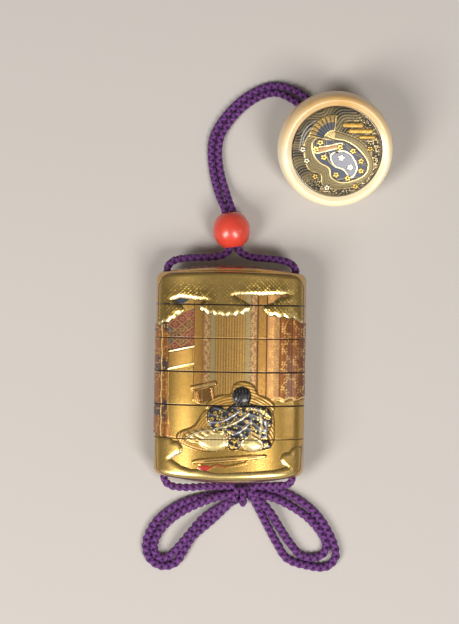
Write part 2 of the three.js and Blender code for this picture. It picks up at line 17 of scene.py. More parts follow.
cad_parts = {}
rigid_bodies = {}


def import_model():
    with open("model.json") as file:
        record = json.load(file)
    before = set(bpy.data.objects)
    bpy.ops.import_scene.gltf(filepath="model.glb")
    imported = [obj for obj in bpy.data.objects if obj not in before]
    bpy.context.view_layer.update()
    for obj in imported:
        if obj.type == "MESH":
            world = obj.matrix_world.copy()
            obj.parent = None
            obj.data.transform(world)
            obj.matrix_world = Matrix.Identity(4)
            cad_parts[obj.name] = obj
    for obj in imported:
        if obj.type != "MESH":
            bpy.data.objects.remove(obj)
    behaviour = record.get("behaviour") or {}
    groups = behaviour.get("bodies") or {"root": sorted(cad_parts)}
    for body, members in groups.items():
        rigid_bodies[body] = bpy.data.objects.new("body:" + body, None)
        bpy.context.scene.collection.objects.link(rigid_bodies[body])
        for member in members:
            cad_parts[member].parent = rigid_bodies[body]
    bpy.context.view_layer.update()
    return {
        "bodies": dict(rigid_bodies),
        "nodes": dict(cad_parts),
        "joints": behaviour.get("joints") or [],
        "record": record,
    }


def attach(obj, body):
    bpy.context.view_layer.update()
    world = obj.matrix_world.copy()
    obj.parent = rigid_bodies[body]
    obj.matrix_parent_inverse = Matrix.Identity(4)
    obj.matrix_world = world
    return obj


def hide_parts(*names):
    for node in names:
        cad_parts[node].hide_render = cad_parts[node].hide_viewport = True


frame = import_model()
print("nodes:", ", ".join(sorted(frame["nodes"])))

MM = 0.001                      # lengths below are millimetres, and Blender's are metres


# %% Colours, nodes and new pieces
def linear(hex_colour):
    """An sRGB hex colour as linear RGBA."""
    channels = [int(hex_colour[i:i + 2], 16) / 255 for i in (1, 3, 5)]
    return tuple(c / 12.92 if c <= 0.04045 else ((c + 0.055) / 1.055) ** 2.4 for c in channels) + (1.0,)


def add_node(tree, kind, settings=None, **links):
    """Adds a node. settings holds attributes and, by socket name or number, values or sources."""
    node = tree.nodes.new(kind)
    for key, value in (settings or {}).items():
        if isinstance(key, str) and hasattr(node, key):
            setattr(node, key, value)
            continue
        socket = node.inputs[key]
        if isinstance(value, bpy.types.NodeSocket):
            tree.links.new(value, socket)
        else:
            socket.default_value = value
    return node


def new_material(name):
    """A material with only a Principled shader, and its tree."""
    material = bpy.data.materials.new(name)
    material.use_nodes = True
    tree = material.node_tree
    return material, tree, tree.nodes["Principled BSDF"]


def add_piece(name, mesh, material, slot, *nodes):
    """Puts a finished mesh in the scene as a piece that stands for the CAD nodes."""
    piece = bpy.data.objects.new(name, mesh)
    bpy.context.scene.collection.objects.link(piece)
    mesh.materials.clear()
    mesh.materials.append(material)
    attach(piece, "root")
    if nodes:
        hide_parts(*nodes)
    print(name, "faces:", len(mesh.polygons))
    return piece


# %% [markdown]
# The camera comes first, because it decides what has to be right. The photograph looks straight
# down from about 0.6 m, with the top of the case leaning a little to the right.

# %% The camera
CAMERA_HEIGHT = 611.5
CAMERA_OVER = (-0.48, 23.6)
CAMERA_ROLL = 0.93              # degrees
FOCAL_PIXELS = 1578             # focal length, in pixels of a picture 624 pixels high
PICTURE_HEIGHT = 624
SENSOR_WIDTH = 36

camera_data = bpy.data.cameras.new("camera")
camera_data.sensor_width = SENSOR_WIDTH
camera_data.lens = FOCAL_PIXELS / PICTURE_HEIGHT * SENSOR_WIDTH
camera = bpy.data.objects.new("camera", camera_data)
camera.location = Vector((*CAMERA_OVER, CAMERA_HEIGHT)) * MM
camera.rotation_euler.z = math.radians(CAMERA_ROLL)
bpy.context.scene.collection.objects.link(camera)
bpy.context.scene.camera = camera
print("lens:", round(camera_data.lens, 1), "mm")

# %% [markdown]
# The object lies on plain pale board. Two soft boxes stand beyond the bottom of the picture, left
# and right, so the shadows fall towards the top. The room above is dim, which keeps the polished
# gold deep.

# %% The floor and the lights
FLOOR_SIZE = 3000
floor_mesh = bpy.data.meshes.new("floor")
shape = bmesh.new()
bmesh.ops.create_grid(shape, x_segments=1, y_segments=1, size=FLOOR_SIZE / 2 * MM)
shape.to_mesh(floor_mesh)
shape.free()
floor = bpy.data.objects.new("floor", floor_mesh)
bpy.context.scene.collection.objects.link(floor)

paper, tree, shader = new_material("pale matt board")
shader.inputs["Base Color"].default_value = linear("#bbb7b4")
shader.inputs["Roughness"].default_value = 0.9
shader.inputs["Specular IOR Level"].default_value = 0.2
floor_mesh.materials.append(paper)


def soft_box(name, place, aim, size, watts, colour):
    """A square area light that looks from place to aim, in millimetres."""
    data = bpy.data.lights.new(name, "AREA")
    data.shape = "RECTANGLE"
    data.size, data.size_y = (side * MM for side in size)
    data.energy = watts
    data.color = linear(colour)[:3]
    light = bpy.data.objects.new(name, data)
    light.location = Vector(place) * MM
    light.rotation_euler = (Vector(place) - Vector(aim)).to_track_quat("Z", "Y").to_euler()
    bpy.context.scene.collection.objects.link(light)


soft_box("left soft box", (-805, -564, 970), (0, 20, 0), (400, 740), 15.1, "#fffaf4")
soft_box("right soft box", (531, -547, 1156), (0, 20, 0), (400, 740), 14, "#fffaf4")
soft_box("left strip light", (-690, -240, 1010), (0, 0, 0), (110, 420), 1.0, "#fffaf4")
soft_box("right strip light", (1050, -60, 700), (0, 0, 0), (45, 520), 0.45, "#fffaf4")

world = bpy.data.worlds.new("dim room")
world.use_nodes = True
bpy.context.scene.world = world
tree = world.node_tree
background = tree.nodes["Background"]
background.inputs["Color"].default_value = linear("#f4efe8")
background.inputs["Strength"].default_value = 0.2
bpy.context.scene.view_settings.view_transform = "Standard"

# %% [markdown]
# Every piece of the case is one closed skin. Rings of points run up the inside of the tray, over
# its inner wall, down the outside and back under its floor, and a pole closes each end. The
# columns stand close together on the decorated front, and wider apart on the plain back.

# %% Sizes of the case, as the solids have them
HALF_WIDTH = 28.5
HALF_THICK = 11.5
AXIS_HEIGHT = 11.25             # of the middle of the case above the table
HALF_LENGTH = 41.49
SECTION_EXPONENT = 2.2          # superellipse between an oval and a box
END_RISE_WIDE = 3.5             # how far the ends fall from the middle to the narrow sides
END_RISE_THICK = 2.0            # and to the front and back
END_EDGE_RADIUS = 2.4
RISER_HALF_WIDTH = 21.7         # a riser is the inner wall that stands up into the tier above
RISER_HALF_THICK = 9.2
RISER_EXPONENT = 2.8
RISER_WALL = 1.5
RISER_HEIGHT = 5.0
RISER_SIDE_GAP = 0.32
RECESS_DEPTH = 5.4
TIER_FLOOR = 1.4
END_WALL = 2.0
CHANNEL_OFFSET = 24.4           # of each cord channel from the middle of the case
CHANNEL_RADIUS = 1.66
SEAMS = [26.29, 13.72, 1.15, -11.42, -23.99]
SEAM_GAP = 0.14
SEAM_SHADE_WIDTHS = [0.34, 0.2, 0.34, 0.34, 0.2]   # width of the dark band painted on the rims at each seam, as shade in the gap between tiers
EDGE_EASE = 0.12                # tiny round on the rim of each tier
FRONT_STEP = 0.22               # between columns, and between rows
BACK_STEP = 0.8


def column_angles():
    """Angles of the columns, evenly spaced along the front of the section and along its back."""
    dense = np.linspace(0, 2 * math.pi, 40001)
    x, z = section(HALF_WIDTH, HALF_THICK, SECTION_EXPONENT, dense)
    reach = np.concatenate([[0], np.cumsum(np.hypot(np.diff(x), np.diff(z)))])
    half = reach[-1] / 2
    front = np.linspace(0, half, round(half / FRONT_STEP), endpoint=False)
    back = np.linspace(half, 2 * half, round(half / BACK_STEP), endpoint=False)
    return np.interp(np.concatenate([front, back]), reach, dense)


def section(half_width, half_thick, exponent, angles=None):
    """Points round a superellipse, as x and z from its middle."""
    angles = COLUMNS if angles is None else angles
    c, s = np.cos(angles), np.sin(angles)
    x = half_width * np.sign(c) * np.abs(c) ** (2 / exponent)
    z = half_thick * np.sign(s) * np.abs(s) ** (2 / exponent)
    return x, z


def end_height(x, z):
    return HALF_LENGTH - END_RISE_WIDE * (x / HALF_WIDTH) ** 2 - END_RISE_THICK * (z / HALF_THICK) ** 2


COLUMNS = column_angles()
print("columns round the case:", len(COLUMNS))


def closed_skin(name, rings, poles=True):
    """A closed mesh through rings of points. Poles cap both ends, or the last ring meets the first."""
    rings = np.asarray(rings)
    count, columns = rings.shape[:2]
    points = rings.reshape(-1, 3)
    index = np.arange(count * columns).reshape(count, columns)
    if poles:
        points = np.vstack([points, rings[0].mean(axis=0), rings[-1].mean(axis=0)])
    else:
        index = np.vstack([index, index[:1]])
    beside = np.roll(index, -1, axis=1)
    faces = np.stack([index[:-1], beside[:-1], beside[1:], index[1:]], axis=-1).reshape(-1, 4).tolist()
    if poles:
        low, high = count * columns, count * columns + 1
        faces += [(low, b, a) for a, b in zip(index[0], beside[0])]
        faces += [(high, a, b) for a, b in zip(index[-1], beside[-1])]
    mesh = bpy.data.meshes.new(name)
    mesh.from_pydata(points * MM, [], faces)
    shape = bmesh.new()
    shape.from_mesh(mesh)
    if shape.calc_volume(signed=True) < 0:
        bmesh.ops.reverse_faces(shape, faces=shape.faces)
    shape.to_mesh(mesh)
    shape.free()
    return mesh

# %% [markdown]
# The decoration is laid on in layers, as a lacquer artist works: ground, then each area of colour
# over it, then what stands up. A layer needs a mask, and a mask comes from how deep a point lies
# inside an outline. The same outlines raise the surface, so paint and relief always agree.

# %% Drawing tools
class Sheet:
    """The lacquer at many points: where they are, and the colour, height and finish laid there."""

    def __init__(self, x, y):
        self.x, self.y = x, y
        self.colour = np.zeros((x.size, 3))
        self.height = np.zeros(x.size)
        self.metal = np.full(x.size, 0.9)
        self.rough = np.full(x.size, 0.27)

    def lay(self, mask, colour=None, height=None, metal=None, rough=None):
        if colour is not None:
            self.colour += mask[:, None] * (np.array(linear(colour)[:3]) - self.colour)
        if height is not None:
            self.height += mask * (height - self.height)
        if metal is not None:
            self.metal += mask * (metal - self.metal)
        if rough is not None:
            self.rough += mask * (rough - self.rough)

    def raise_by(self, mask, height):
        self.height = np.maximum(self.height, mask * height)

    def depth(self, outline, margin=2.0):
        """How far each point lies inside an outline, and below nothing outside it."""
        corners = np.asarray(outline, float)
        low, high = corners.min(axis=0) - margin, corners.max(axis=0) + margin
        near = (self.x > low[0]) & (self.x < high[0]) & (self.y > low[1]) & (self.y < high[1])
        result = np.full(self.x.shape, -margin)
        if not near.any():
            return result
        px, py = self.x[near][:, None], self.y[near][:, None]
        ax, ay = corners.T
        bx, by = np.roll(corners, -1, axis=0).T
        dx, dy = bx - ax, by - ay
        along = np.clip(((px - ax) * dx + (py - ay) * dy) / (dx ** 2 + dy ** 2), 0, 1)
        away = np.hypot(px - ax - along * dx, py - ay - along * dy).min(axis=1)
        rise = np.where(dy == 0, 1, dy)
        crosses = ((ay > py) != (by > py)) & (px < ax + (py - ay) * dx / rise)
        inside = crosses.sum(axis=1) % 2 == 1
        result[near] = np.where(inside, away, -np.minimum(away, margin))
        return result

    def away(self, line, reach=3.0):
        """The distance from each point to an open line, up to a reach."""
        corners = np.asarray(line, float)
        low, high = corners.min(axis=0) - reach, corners.max(axis=0) + reach
        near = (self.x > low[0]) & (self.x < high[0]) & (self.y > low[1]) & (self.y < high[1])
        result = np.full(self.x.shape, reach)
        if not near.any():
            return result
        px, py = self.x[near][:, None], self.y[near][:, None]
        ax, ay = corners[:-1].T
        dx, dy = np.diff(corners, axis=0).T
        along = np.clip(((px - ax) * dx + (py - ay) * dy) / (dx ** 2 + dy ** 2), 0, 1)
        result[near] = np.minimum(np.hypot(px - ax - along * dx, py - ay - along * dy).min(axis=1), reach)
        return result

    def between(self, low, high, across="x", soft=0.14):
        """A mask of the points from low to high in x or in y."""
        value = self.x if across == "x" else self.y
        return edge(value - low, soft) * edge(high - value, soft)

    def dots(self, centres, radius, soft=0.14):
        """A mask of round dots."""
        mask = np.zeros(self.x.shape)
        for cx, cy in centres:
            near = (np.abs(self.x - cx) < 2 * radius) & (np.abs(self.y - cy) < 2 * radius)
            spot = edge(radius - np.hypot(self.x[near] - cx, self.y[near] - cy), soft)
            mask[near] = np.maximum(mask[near], spot)
        return mask


def edge(depth, soft=0.14):
    """A depth as a mask with a soft edge."""
    return np.clip(depth / soft + 0.5, 0, 1)


def pillow(depth, round_over):
    """A depth as a height that rounds over its edge and is then level, from 0 to 1."""
    rest = 1 - np.clip(depth / round_over, 0, 1)
    return np.sqrt(1 - rest ** 2)


def smooth_outline(points, steps=8):
    """A closed smooth curve through points."""
    here = np.asarray(points, float)
    before, after, beyond = (np.roll(here, shift, axis=0) for shift in (1, -1, -2))
    t = np.linspace(0, 1, steps, endpoint=False)[:, None, None]
    curve = 0.5 * (2 * here + (after - before) * t + (2 * before - 5 * here + 4 * after - beyond) * t ** 2
                   + (3 * here - before - 3 * after + beyond) * t ** 3)
    return curve.transpose(1, 0, 2).reshape(-1, 2)


def smooth_line(points, steps=8):
    """An open smooth curve through points."""
    ends = [2 * np.array(points[0]) - points[1], *points, 2 * np.array(points[-1]) - points[-2]]
    return smooth_outline(ends, steps)[steps:-2 * steps + 1]


def cloud_outline(*runs):
    """Straight runs, and round lobes between the points of each scalloped run."""
    LOBE_RISE = 0.24
    points = []
    for kind, run in runs:
        corners = np.asarray(run, float)
        if kind == "line":
            points.extend(corners)
            continue
        for start, end in zip(corners, corners[1:]):
            along = end - start
            out = np.array([along[1], -along[0]]) * LOBE_RISE
            for t in np.linspace(0, 1, 8, endpoint=False):
                points.append(start + along * t + out * math.sin(math.pi * t))
        points.append(corners[-1])
    return np.array(points)


def chance(*cells):
    """A number from 0 to 1 for each cell, which looks random and is always the same."""
    mixed = sum(cell * factor for cell, factor in zip(cells, (127.1, 311.7, 74.7)))
    return np.modf(np.abs(np.sin(mixed) * 43758.5453))[0]


def nuggets(x, y, pitch):
    """Bright gold grains in a diagonal lattice, each a little different, from 0 to 1."""
    u, v = (x + y) / pitch, (x - y) / pitch
    cell_u, cell_v = np.round(u), np.round(v)
    away = np.hypot(u - cell_u, v - cell_v) * pitch / math.sqrt(2)
    luck = chance(cell_u, cell_v)
    return edge((0.13 + 0.15 * luck) * pitch - away, 0.16) * (0.15 + 0.85 * luck)


def flakes(x, y, cell, share):
    """Round flecks of gold, one in a share of the cells, each moved a little by chance."""
    cell_x, cell_y = np.floor(x / cell), np.floor(y / cell)
    off_x = x / cell - cell_x - 0.3 - 0.4 * chance(cell_y, cell_x)
    off_y = y / cell - cell_y - 0.3 - 0.4 * chance(cell_x + 7, cell_y)
    return edge((0.32 - np.hypot(off_x, off_y)) * cell, 0.15) * (chance(cell_x, cell_y) < share)


# %% Outlines on the front, in millimetres from the middle of the case
UPPER_CLOUD = cloud_outline(
    ("line", [(-32, 50)]),
    ("lobes", [(-32, 19.2), (-28.4, 18.9), (-25.2, 19.7), (-22.4, 20.8), (-20.2, 22.6), (-17.6, 24.2)]),
    ("line", [(-18.7, 26), (-22.2, 27.8), (-18.9, 28.9), (-14.1, 28.3), (-9, 27.9), (-11.2, 26.7)]),
    ("lobes", [(-11.6, 25.6), (-9.6, 23.9), (-6.6, 23.2), (-3.6, 22.8), (-0.4, 22.6), (2.6, 23.1),
               (5.4, 23.9), (7.6, 26)]),
    ("line", [(0.9, 29.7), (3, 30), (10.9, 30.1), (18, 30.6), (22.1, 30.5), (18, 28.8), (15.9, 27.5)]),
    ("lobes", [(12.1, 25.5), (12.9, 24.1), (16.6, 22.9), (19.8, 22.5), (23.4, 22.1), (32, 21.6)]),
    ("line", [(32, 50)]),
)
LOWER_CLOUD = cloud_outline(
    ("line", [(32, -50)]),
    ("lobes", [(32, -26.8), (27, -27.3), (22.8, -29), (19.6, -31.6)]),
    ("line", [(20.4, -33), (22.4, -34.3), (17.4, -35.5), (2.8, -36.6), (-3.9, -37.1), (-7.2, -36.5),
              (-10.6, -35.5), (-13.9, -35.6), (-17.7, -34.4), (-21.9, -31.9)]),
    ("lobes", [(-19.6, -30.2), (-17.5, -27.6), (-21, -25.2), (-25.4, -24.2), (-32, -23.8)]),
    ("line", [(-32, -50)]),
)
FRAME_LINE = smooth_outline([(-27.4, 0), (-27.4, 30), (-26.9, 34), (-25.2, 36.7), (-21.6, 37.8), (-12, 38.1),
                             (0, 38.3), (12, 38.1), (21.6, 37.8), (25.2, 36.7), (26.9, 34), (27.4, 30),
                             (27.4, 0), (27.4, -31), (26, -36.4), (21, -38.4), (10, -39.2), (0, -39.4),
                             (-10, -39.2), (-21, -38.4), (-26, -36.4), (-27.4, -31)])
LEFT_RIFT = [(-22.6, 28), (-18.9, 29.4), (-14.6, 28.8), (-16.4, 27.4), (-18.8, 26)]
ROBE = smooth_outline([(-18, -25.6), (-19, -22), (-13, -19), (-9, -13.5), (-2, -11), (4, -8.6), (11, -8.2),
                       (15.6, -12), (17, -19), (16, -26), (9, -28.4), (0, -27), (-9, -28.6)])
SLEEVES = [
    smooth_outline([(-16.5, -24.6), (-15.6, -21.4), (-9, -19.6), (-3, -17.2), (-1, -20.6), (-6.5, -25.6)]),
    smooth_outline([(6.5, -16), (9, -11.2), (13, -11.5), (15.2, -17), (14.4, -24.2), (9.4, -25.6)]),
]
SHOULDERS = smooth_outline([(-2.5, -20.5), (-1.5, -13.6), (3.5, -9.6), (8.6, -11), (9.2, -18.5), (4.6, -25)])
HEAD = smooth_outline([(1.4, -9.2), (1.9, -5.6), (4.9, -4.2), (7.6, -6), (7.6, -9.6), (4.6, -11.4)])
MANTLE = smooth_outline([(-8.6, -11.5), (-4.6, -7.8), (0.4, -7), (1.6, -3.6), (5, -2.2), (8.8, -3.6), (10.8, -7),
                         (15.4, -9), (17, -12.6), (13, -14), (6, -12), (-1, -13.5), (-6, -14)])
UNDER_ROBE = smooth_outline([(-7.6, -12.8), (-4.4, -11.2), (0.5, -13.2), (4, -10.6), (9, -10.6), (14.8, -12.4),
                             (16, -17.5), (14.6, -22.6), (16, -26.4), (12.5, -27.4), (11, -22.5), (6, -20.6),
                             (4.4, -26.8), (0.2, -27.6), (-0.6, -21.4), (-5.4, -20.6), (-8.2, -17)])
KNEES = [
    smooth_outline([(-11, -26), (-9.6, -22.8), (-5, -21.4), (-1, -22.8), (-0.6, -26.4), (-5.6, -28.4)]),
    smooth_outline([(4.6, -26), (6, -23.6), (9, -22.8), (12, -24.4), (12.4, -27), (8.4, -28.4)]),
]
FOLDS = [
    smooth_line([(-6.4, -17.6), (-3, -17.2), (0.4, -15.6), (3.4, -13.4)]),
    smooth_line([(-4.6, -19.8), (-0.6, -18.8), (3.6, -16.8), (7.2, -14)]),
    smooth_line([(1.6, -22), (4.4, -20.6), (7, -18.2), (8.8, -15.4)]),
    smooth_line([(11.4, -23.8), (11.9, -20.6), (12.1, -17.4), (11.6, -14.4)]),
    smooth_line([(13.6, -22.6), (13.9, -19.8), (13.7, -16.8)]),
    smooth_line([(-16.2, -24.2), (-13, -22.2), (-9.4, -20.9), (-5.6, -20.5)]),
]
FAN = smooth_outline([(-12.8, -33.3), (-12.3, -31.8), (-4, -30.8), (12, -29.5), (12.4, -31), (-3.5, -32.7)])
FAN_CORD = [(-11.4, -32.8), (-9.4, -34.4), (-7.2, -34.9), (-4.6, -33.6), (-1, -34.2), (3, -33.4), (6.4, -32.6)]
TASSEL = smooth_outline([(-11, -34.2), (-8.6, -33.8), (-6.6, -34.6), (-8, -35.8), (-10.6, -35.6)])
LOW_TABLE = [
    [(-14.6, -4.4), (-5.2, -2.2), (-4.6, -3.6), (-14, -5.8)],
    [(-12.8, -6), (-11.8, -5.8), (-11, -10.8), (-12, -11)],
    [(-7.2, -4.6), (-6.2, -4.4), (-5.4, -9.2), (-6.4, -9.4)],
]
BROCADE = [(-23.4, 20), (-18, 23), (-13.6, 24.8), (-13.6, 10.9), (-23.4, 8.7)]
BEAM = [(-23.4, 8.2), (-13.6, 10.4), (-13.6, 4.4), (-23.4, 2.2)]


# %% The front, layer by layer
def paint_room(sheet):
    """A room seen between clouds: floor, blinds, pillars and hangings."""
    x, y = sheet.x, sheet.y
    floor_line = -9.6
    sheet.lay(np.ones(x.size), "#bf9a50")
    wall = edge(y - floor_line) * edge(x + 13.6)
    sheet.lay(wall, "#b58a4d")

    blind = sheet.between(-5.6, 5.6) * wall
    slat = 0.5 + 0.5 * np.cos(2 * math.pi * x / 1.0)
    sheet.lay(blind, "#e6b96d")
    sheet.lay(blind * edge(0.42 - slat, 0.4) * (0.55 + 0.45 * chance(np.round(x))), "#a87737")
    for side in (-1, 1):
        border = sheet.between(5.6, 7.4) if side > 0 else sheet.between(-7.4, -5.6)
        sheet.lay(border * wall, "#baa674", metal=0.75)
        strip = sheet.between(7.4, 10) if side > 0 else sheet.between(-10, -7.4)
        sheet.lay(strip * wall, "#a87a56", metal=0.7)
        vine = np.abs(x - side * 8.7 - 0.55 * np.sin(2 * math.pi * y / 3.7) - 0.2 * np.sin(y * 3.3))
        sheet.lay(strip * wall * edge(0.17 - vine), "#e9c47c")
        sheet.lay(strip * wall * flakes(x, y, 0.75, 0.5), "#eecb86")
        pillar = sheet.between(10.2, 13.6) if side > 0 else sheet.between(-13.6, -10.2)
        sheet.lay(pillar * wall, "#b98b48")
        sheet.raise_by(pillar * wall, 0.16)
        for line in (10.2, 13.6):
            sheet.lay(wall * edge(0.13 - np.abs(x - side * line)), "#6d4522")


def paint_hangings(sheet):
    """A curtain on the right, a brocade and a narrow hanging on the left."""
    x, y = sheet.x, sheet.y
    curtain = edge(x - 13.8) * edge(y + 9.4 + 0.35 * np.sin(x * 1.3))
    sheet.lay(curtain, "#a8713f", metal=0.75, rough=0.4)
    for middle, colour in ((16.4, "#c0905a"), (20.9, "#8a5428"), (25.2, "#9a5a2c"), (28.4, "#7c4520")):
        sheet.lay(curtain * edge(2.3 - np.abs(x - middle), 1.2), colour)
        vine = np.abs(x - middle - 1.1 * np.sin(2 * math.pi * y / 7.3 + middle) - 0.3 * np.sin(2.1 * y))
        sheet.lay(curtain * edge(0.15 - vine), "#d9a455")
        sheet.lay(curtain * edge(1.4 - vine, 0.8) * flakes(x - middle, y, 0.95, 0.5), "#e3b56a")
    folds = 0.5 + 0.5 * np.cos(2 * math.pi * (x - 13.9) / 4.5)
    sheet.raise_by(curtain, 0.06 + 0.2 * (1 - folds))
    for line in (18.7, 23.2, 27.2):
        sheet.lay(curtain * edge(0.16 - np.abs(x - line)), "#5d3418")
    hem = edge(0.3 - np.abs(y + 8.6 + 0.35 * np.sin(x * 1.3)))
    sheet.lay(curtain * hem, "#e9c27a")

    brocade = edge(sheet.depth(BROCADE))
    sheet.lay(brocade, "#5e3f25", metal=0.5, rough=0.45)
    u, v = (x + 1.25 * y) / 5.2, (x - 1.25 * y) / 5.2
    luck = chance(np.floor(u), np.floor(v))
    for low, high, colour in ((0, 0.45, "#6a2b2b"), (0.45, 0.58, "#3f464d"), (0.58, 0.75, "#463020")):
        sheet.lay(brocade * (luck >= low) * (luck < high), colour)
    seam = np.minimum(np.abs(u - np.round(u)), np.abs(v - np.round(v)))
    sheet.lay(brocade * edge(0.06 - seam, 0.06) * 0.8, "#96703c", metal=0.8)
    heart = np.hypot(u - np.floor(u) - 0.5, v - np.floor(v) - 0.5)
    sheet.lay(brocade * edge(0.035 - np.abs(heart - 0.2), 0.06) * 0.7, "#a97a4c", metal=0.8)
    sheet.lay(brocade * flakes(x, y, 0.6, 0.45) * 0.6, "#ad8549", metal=0.8)

    beam = sheet.depth(BEAM)
    sheet.lay(edge(beam), "#cb9f54")
    sheet.raise_by(pillow(beam, 0.4), 0.16)
    for low, high in (((-23.4, 8.5), (-13.6, 10.7)), ((-23.4, 2.1), (-13.6, 4.3))):
        sheet.lay(edge(0.24 - sheet.away([low, high])), "#f5e3ad")
        sheet.raise_by(edge(0.3 - sheet.away([low, high]), 0.3), 0.2)
    # Painted shade: the room below the beam is darkened softly.
    sheet.lay(edge(sheet.depth([(-23.4, 1.9), (-13.6, 4.1), (-13.6, -9.5), (-23.4, -9.5)]), 3.0) * 0.35, "#8a6228")

    hanging = edge(-23.2 - x + 0.05 * np.maximum(0, -12 - y) ** 1.4) * edge(y + 23.4) * edge(22 - y)
    sheet.lay(hanging, "#9a6433", metal=0.7, rough=0.4)
    blotch = np.sin(y * 0.38 + 0.4) + 0.4 * np.sin(x * 1.1 + y * 0.9)
    sheet.lay(hanging * edge(blotch - 0.45, 0.7) * 0.85, "#37343c", metal=0.5)
    sheet.lay(hanging * flakes(x, y, 0.9, 0.4) * 0.8, "#dba956")
    sheet.lay(hanging * edge(0.16 - np.abs(x + 25.7 - 0.15 * np.sin(y))), "#f1d391")
    sheet.lay(edge(0.16 - np.abs(x + 23.3)) * edge(y + 20) * edge(22 - y), "#50341c")
    sheet.raise_by(hanging, 0.12 + 0.1 * np.cos(x * 2.4))

    sheet.lay(edge(sheet.depth(LEFT_RIFT)), "#3d4652", metal=0.5)
    # Painted shade under the low table: a flat brown fill between its legs.
    under = sheet.depth([(-12.4, -5.9), (-6.4, -4.5), (-5.9, -9.2), (-11.6, -10.8)])
    sheet.lay(edge(under), "#7d5a2e", metal=0.7)
    for corners in LOW_TABLE:
        board = sheet.depth(corners)
        sheet.lay(edge(board + 0.2), "#6d4522")
        sheet.lay(edge(board), "#cf9d57")
        sheet.raise_by(pillow(board, 0.3), 0.45)
    top = sheet.depth([(-12.6, -4.5), (-6, -3), (-5.8, -3.6), (-12.2, -5)])
    sheet.lay(edge(top), "#b0a06c")


def paint_figure(sheet):
    """A seated figure in wide robes, seen from behind its shoulder, and a closed fan before it."""
    x, y = sheet.x, sheet.y
    mantle, robe = sheet.depth(MANTLE), sheet.depth(ROBE)
    sheet.lay(edge(np.maximum(mantle, robe) + 0.22), "#3a2712", metal=0.6)
    waves = np.sin(2 * math.pi * np.hypot(x - 3, (y + 30) * 0.9) / 0.95)
    for shape, height in ((mantle, 0.42), (robe, 0.5)):
        sheet.lay(edge(shape), "#b58c42", rough=0.36)
        sheet.lay(edge(shape) * edge(waves - 0.3, 0.9) * 0.75, "#7b5a26")
        sheet.raise_by(pillow(shape, 0.9) * (1 - 0.12 * (waves > 0)), height)
    for sleeve in SLEEVES:
        inside = sheet.depth(sleeve)
        sheet.lay(edge(inside + 0.15), "#4c3417")
        sheet.lay(edge(inside), "#dcbb74", rough=0.3)
        rib = np.sin(2 * math.pi * (x * 0.5 + y) / 1.9)
        sheet.lay(edge(inside) * edge(-rib - 0.2, 0.6), "#8d6a30")
        sheet.raise_by(pillow(inside, 1.4) * (0.9 + 0.1 * rib), 0.85)

    dark = np.maximum(sheet.depth(UNDER_ROBE), np.minimum(sheet.depth(SHOULDERS), 0.4))
    sheet.lay(edge(dark), "#23242c", metal=0.55, rough=0.42)
    ridges = np.sin(0.9 * x + 2.1 * y + 0.9 * np.sin(0.5 * x - 0.4 * y)) * 0.5 + 0.5
    sheet.raise_by(pillow(dark, 1.0) * (0.85 + 0.15 * ridges), 0.9)
    sheet.lay(edge(dark - 0.3) * edge(ridges - 0.9, 0.2) * 0.45, "#8f8f98", metal=0.9)
    sheet.lay(edge(dark - 0.3) * flakes(x, y, 0.8, 0.26), "#f6cf56", metal=0.9, rough=0.3)
    for i, (bx, by) in enumerate(BLOSSOMS):
        petals = [(bx + 0.52 * math.cos(1.2566 * k + i), by + 0.52 * math.sin(1.2566 * k + i)) for k in range(5)]
        spots = sheet.dots(petals, 0.22) * edge(dark - 0.1)
        sheet.lay(spots, "#f3c14e", metal=0.9, rough=0.3)
        sheet.raise_by(spots, 0.98)

    for knee in KNEES:
        inside = sheet.depth(knee)
        sheet.lay(edge(inside + 0.15), "#4c3417")
        sheet.lay(edge(inside), "#f2dc9c", rough=0.26)
        sheet.lay(edge(inside) * edge(np.sin(4.6 * x) - 0.6, 0.6) * 0.35, "#b78f47")
        sheet.raise_by(pillow(inside, 2.2), 1.0)
    for i, fold in enumerate(FOLDS):
        away = sheet.away(fold)
        sheet.lay(edge(0.3 - away, 0.5) * 0.8, "#e9dcb4" if i % 2 else "#b9b6bb", metal=0.9, rough=0.28)
        sheet.raise_by(np.clip(1.15 - away / 0.9, 0, 1), 1.05)

    head = sheet.depth(HEAD)
    sheet.lay(edge(head + 0.2), "#0e0d10")
    sheet.lay(edge(head), "#18171b", metal=0.3, rough=0.34)
    strand = np.sin(5.5 * (x - 4.8) + 0.5 * (y + 7) ** 2)
    sheet.lay(edge(head) * edge(strand - 0.9, 0.12) * 0.5, "#8a847e")
    sheet.raise_by(pillow(head, 2.6) * (0.985 + 0.015 * strand), 1.5)

    fan = sheet.depth(FAN)
    sheet.lay(edge(fan + 0.16), "#6b4620")
    sheet.lay(edge(fan), "#e0b566", rough=0.3)
    for slit in ([(-8.8, -32.3), (-1.5, -31.6), (3, -31.3)], [(7.4, -30.8), (10.6, -30.5)]):
        sheet.lay(edge(0.2 - sheet.away(slit)), "#4a4038")
    sheet.raise_by(pillow(fan, 0.5), 0.5)
    cord = sheet.away(FAN_CORD)
    sheet.lay(edge(0.2 - cord), "#c0923f")
    sheet.lay(edge(0.2 - sheet.away(FAN_CORD[1:5])), "#b3402e", metal=0.2)
    tassel = sheet.depth(TASSEL)
    sheet.lay(edge(tassel), "#b8382c", metal=0.15)
    sheet.raise_by(np.maximum(pillow(tassel, 0.5), edge(0.25 - cord, 0.3)), 0.25)


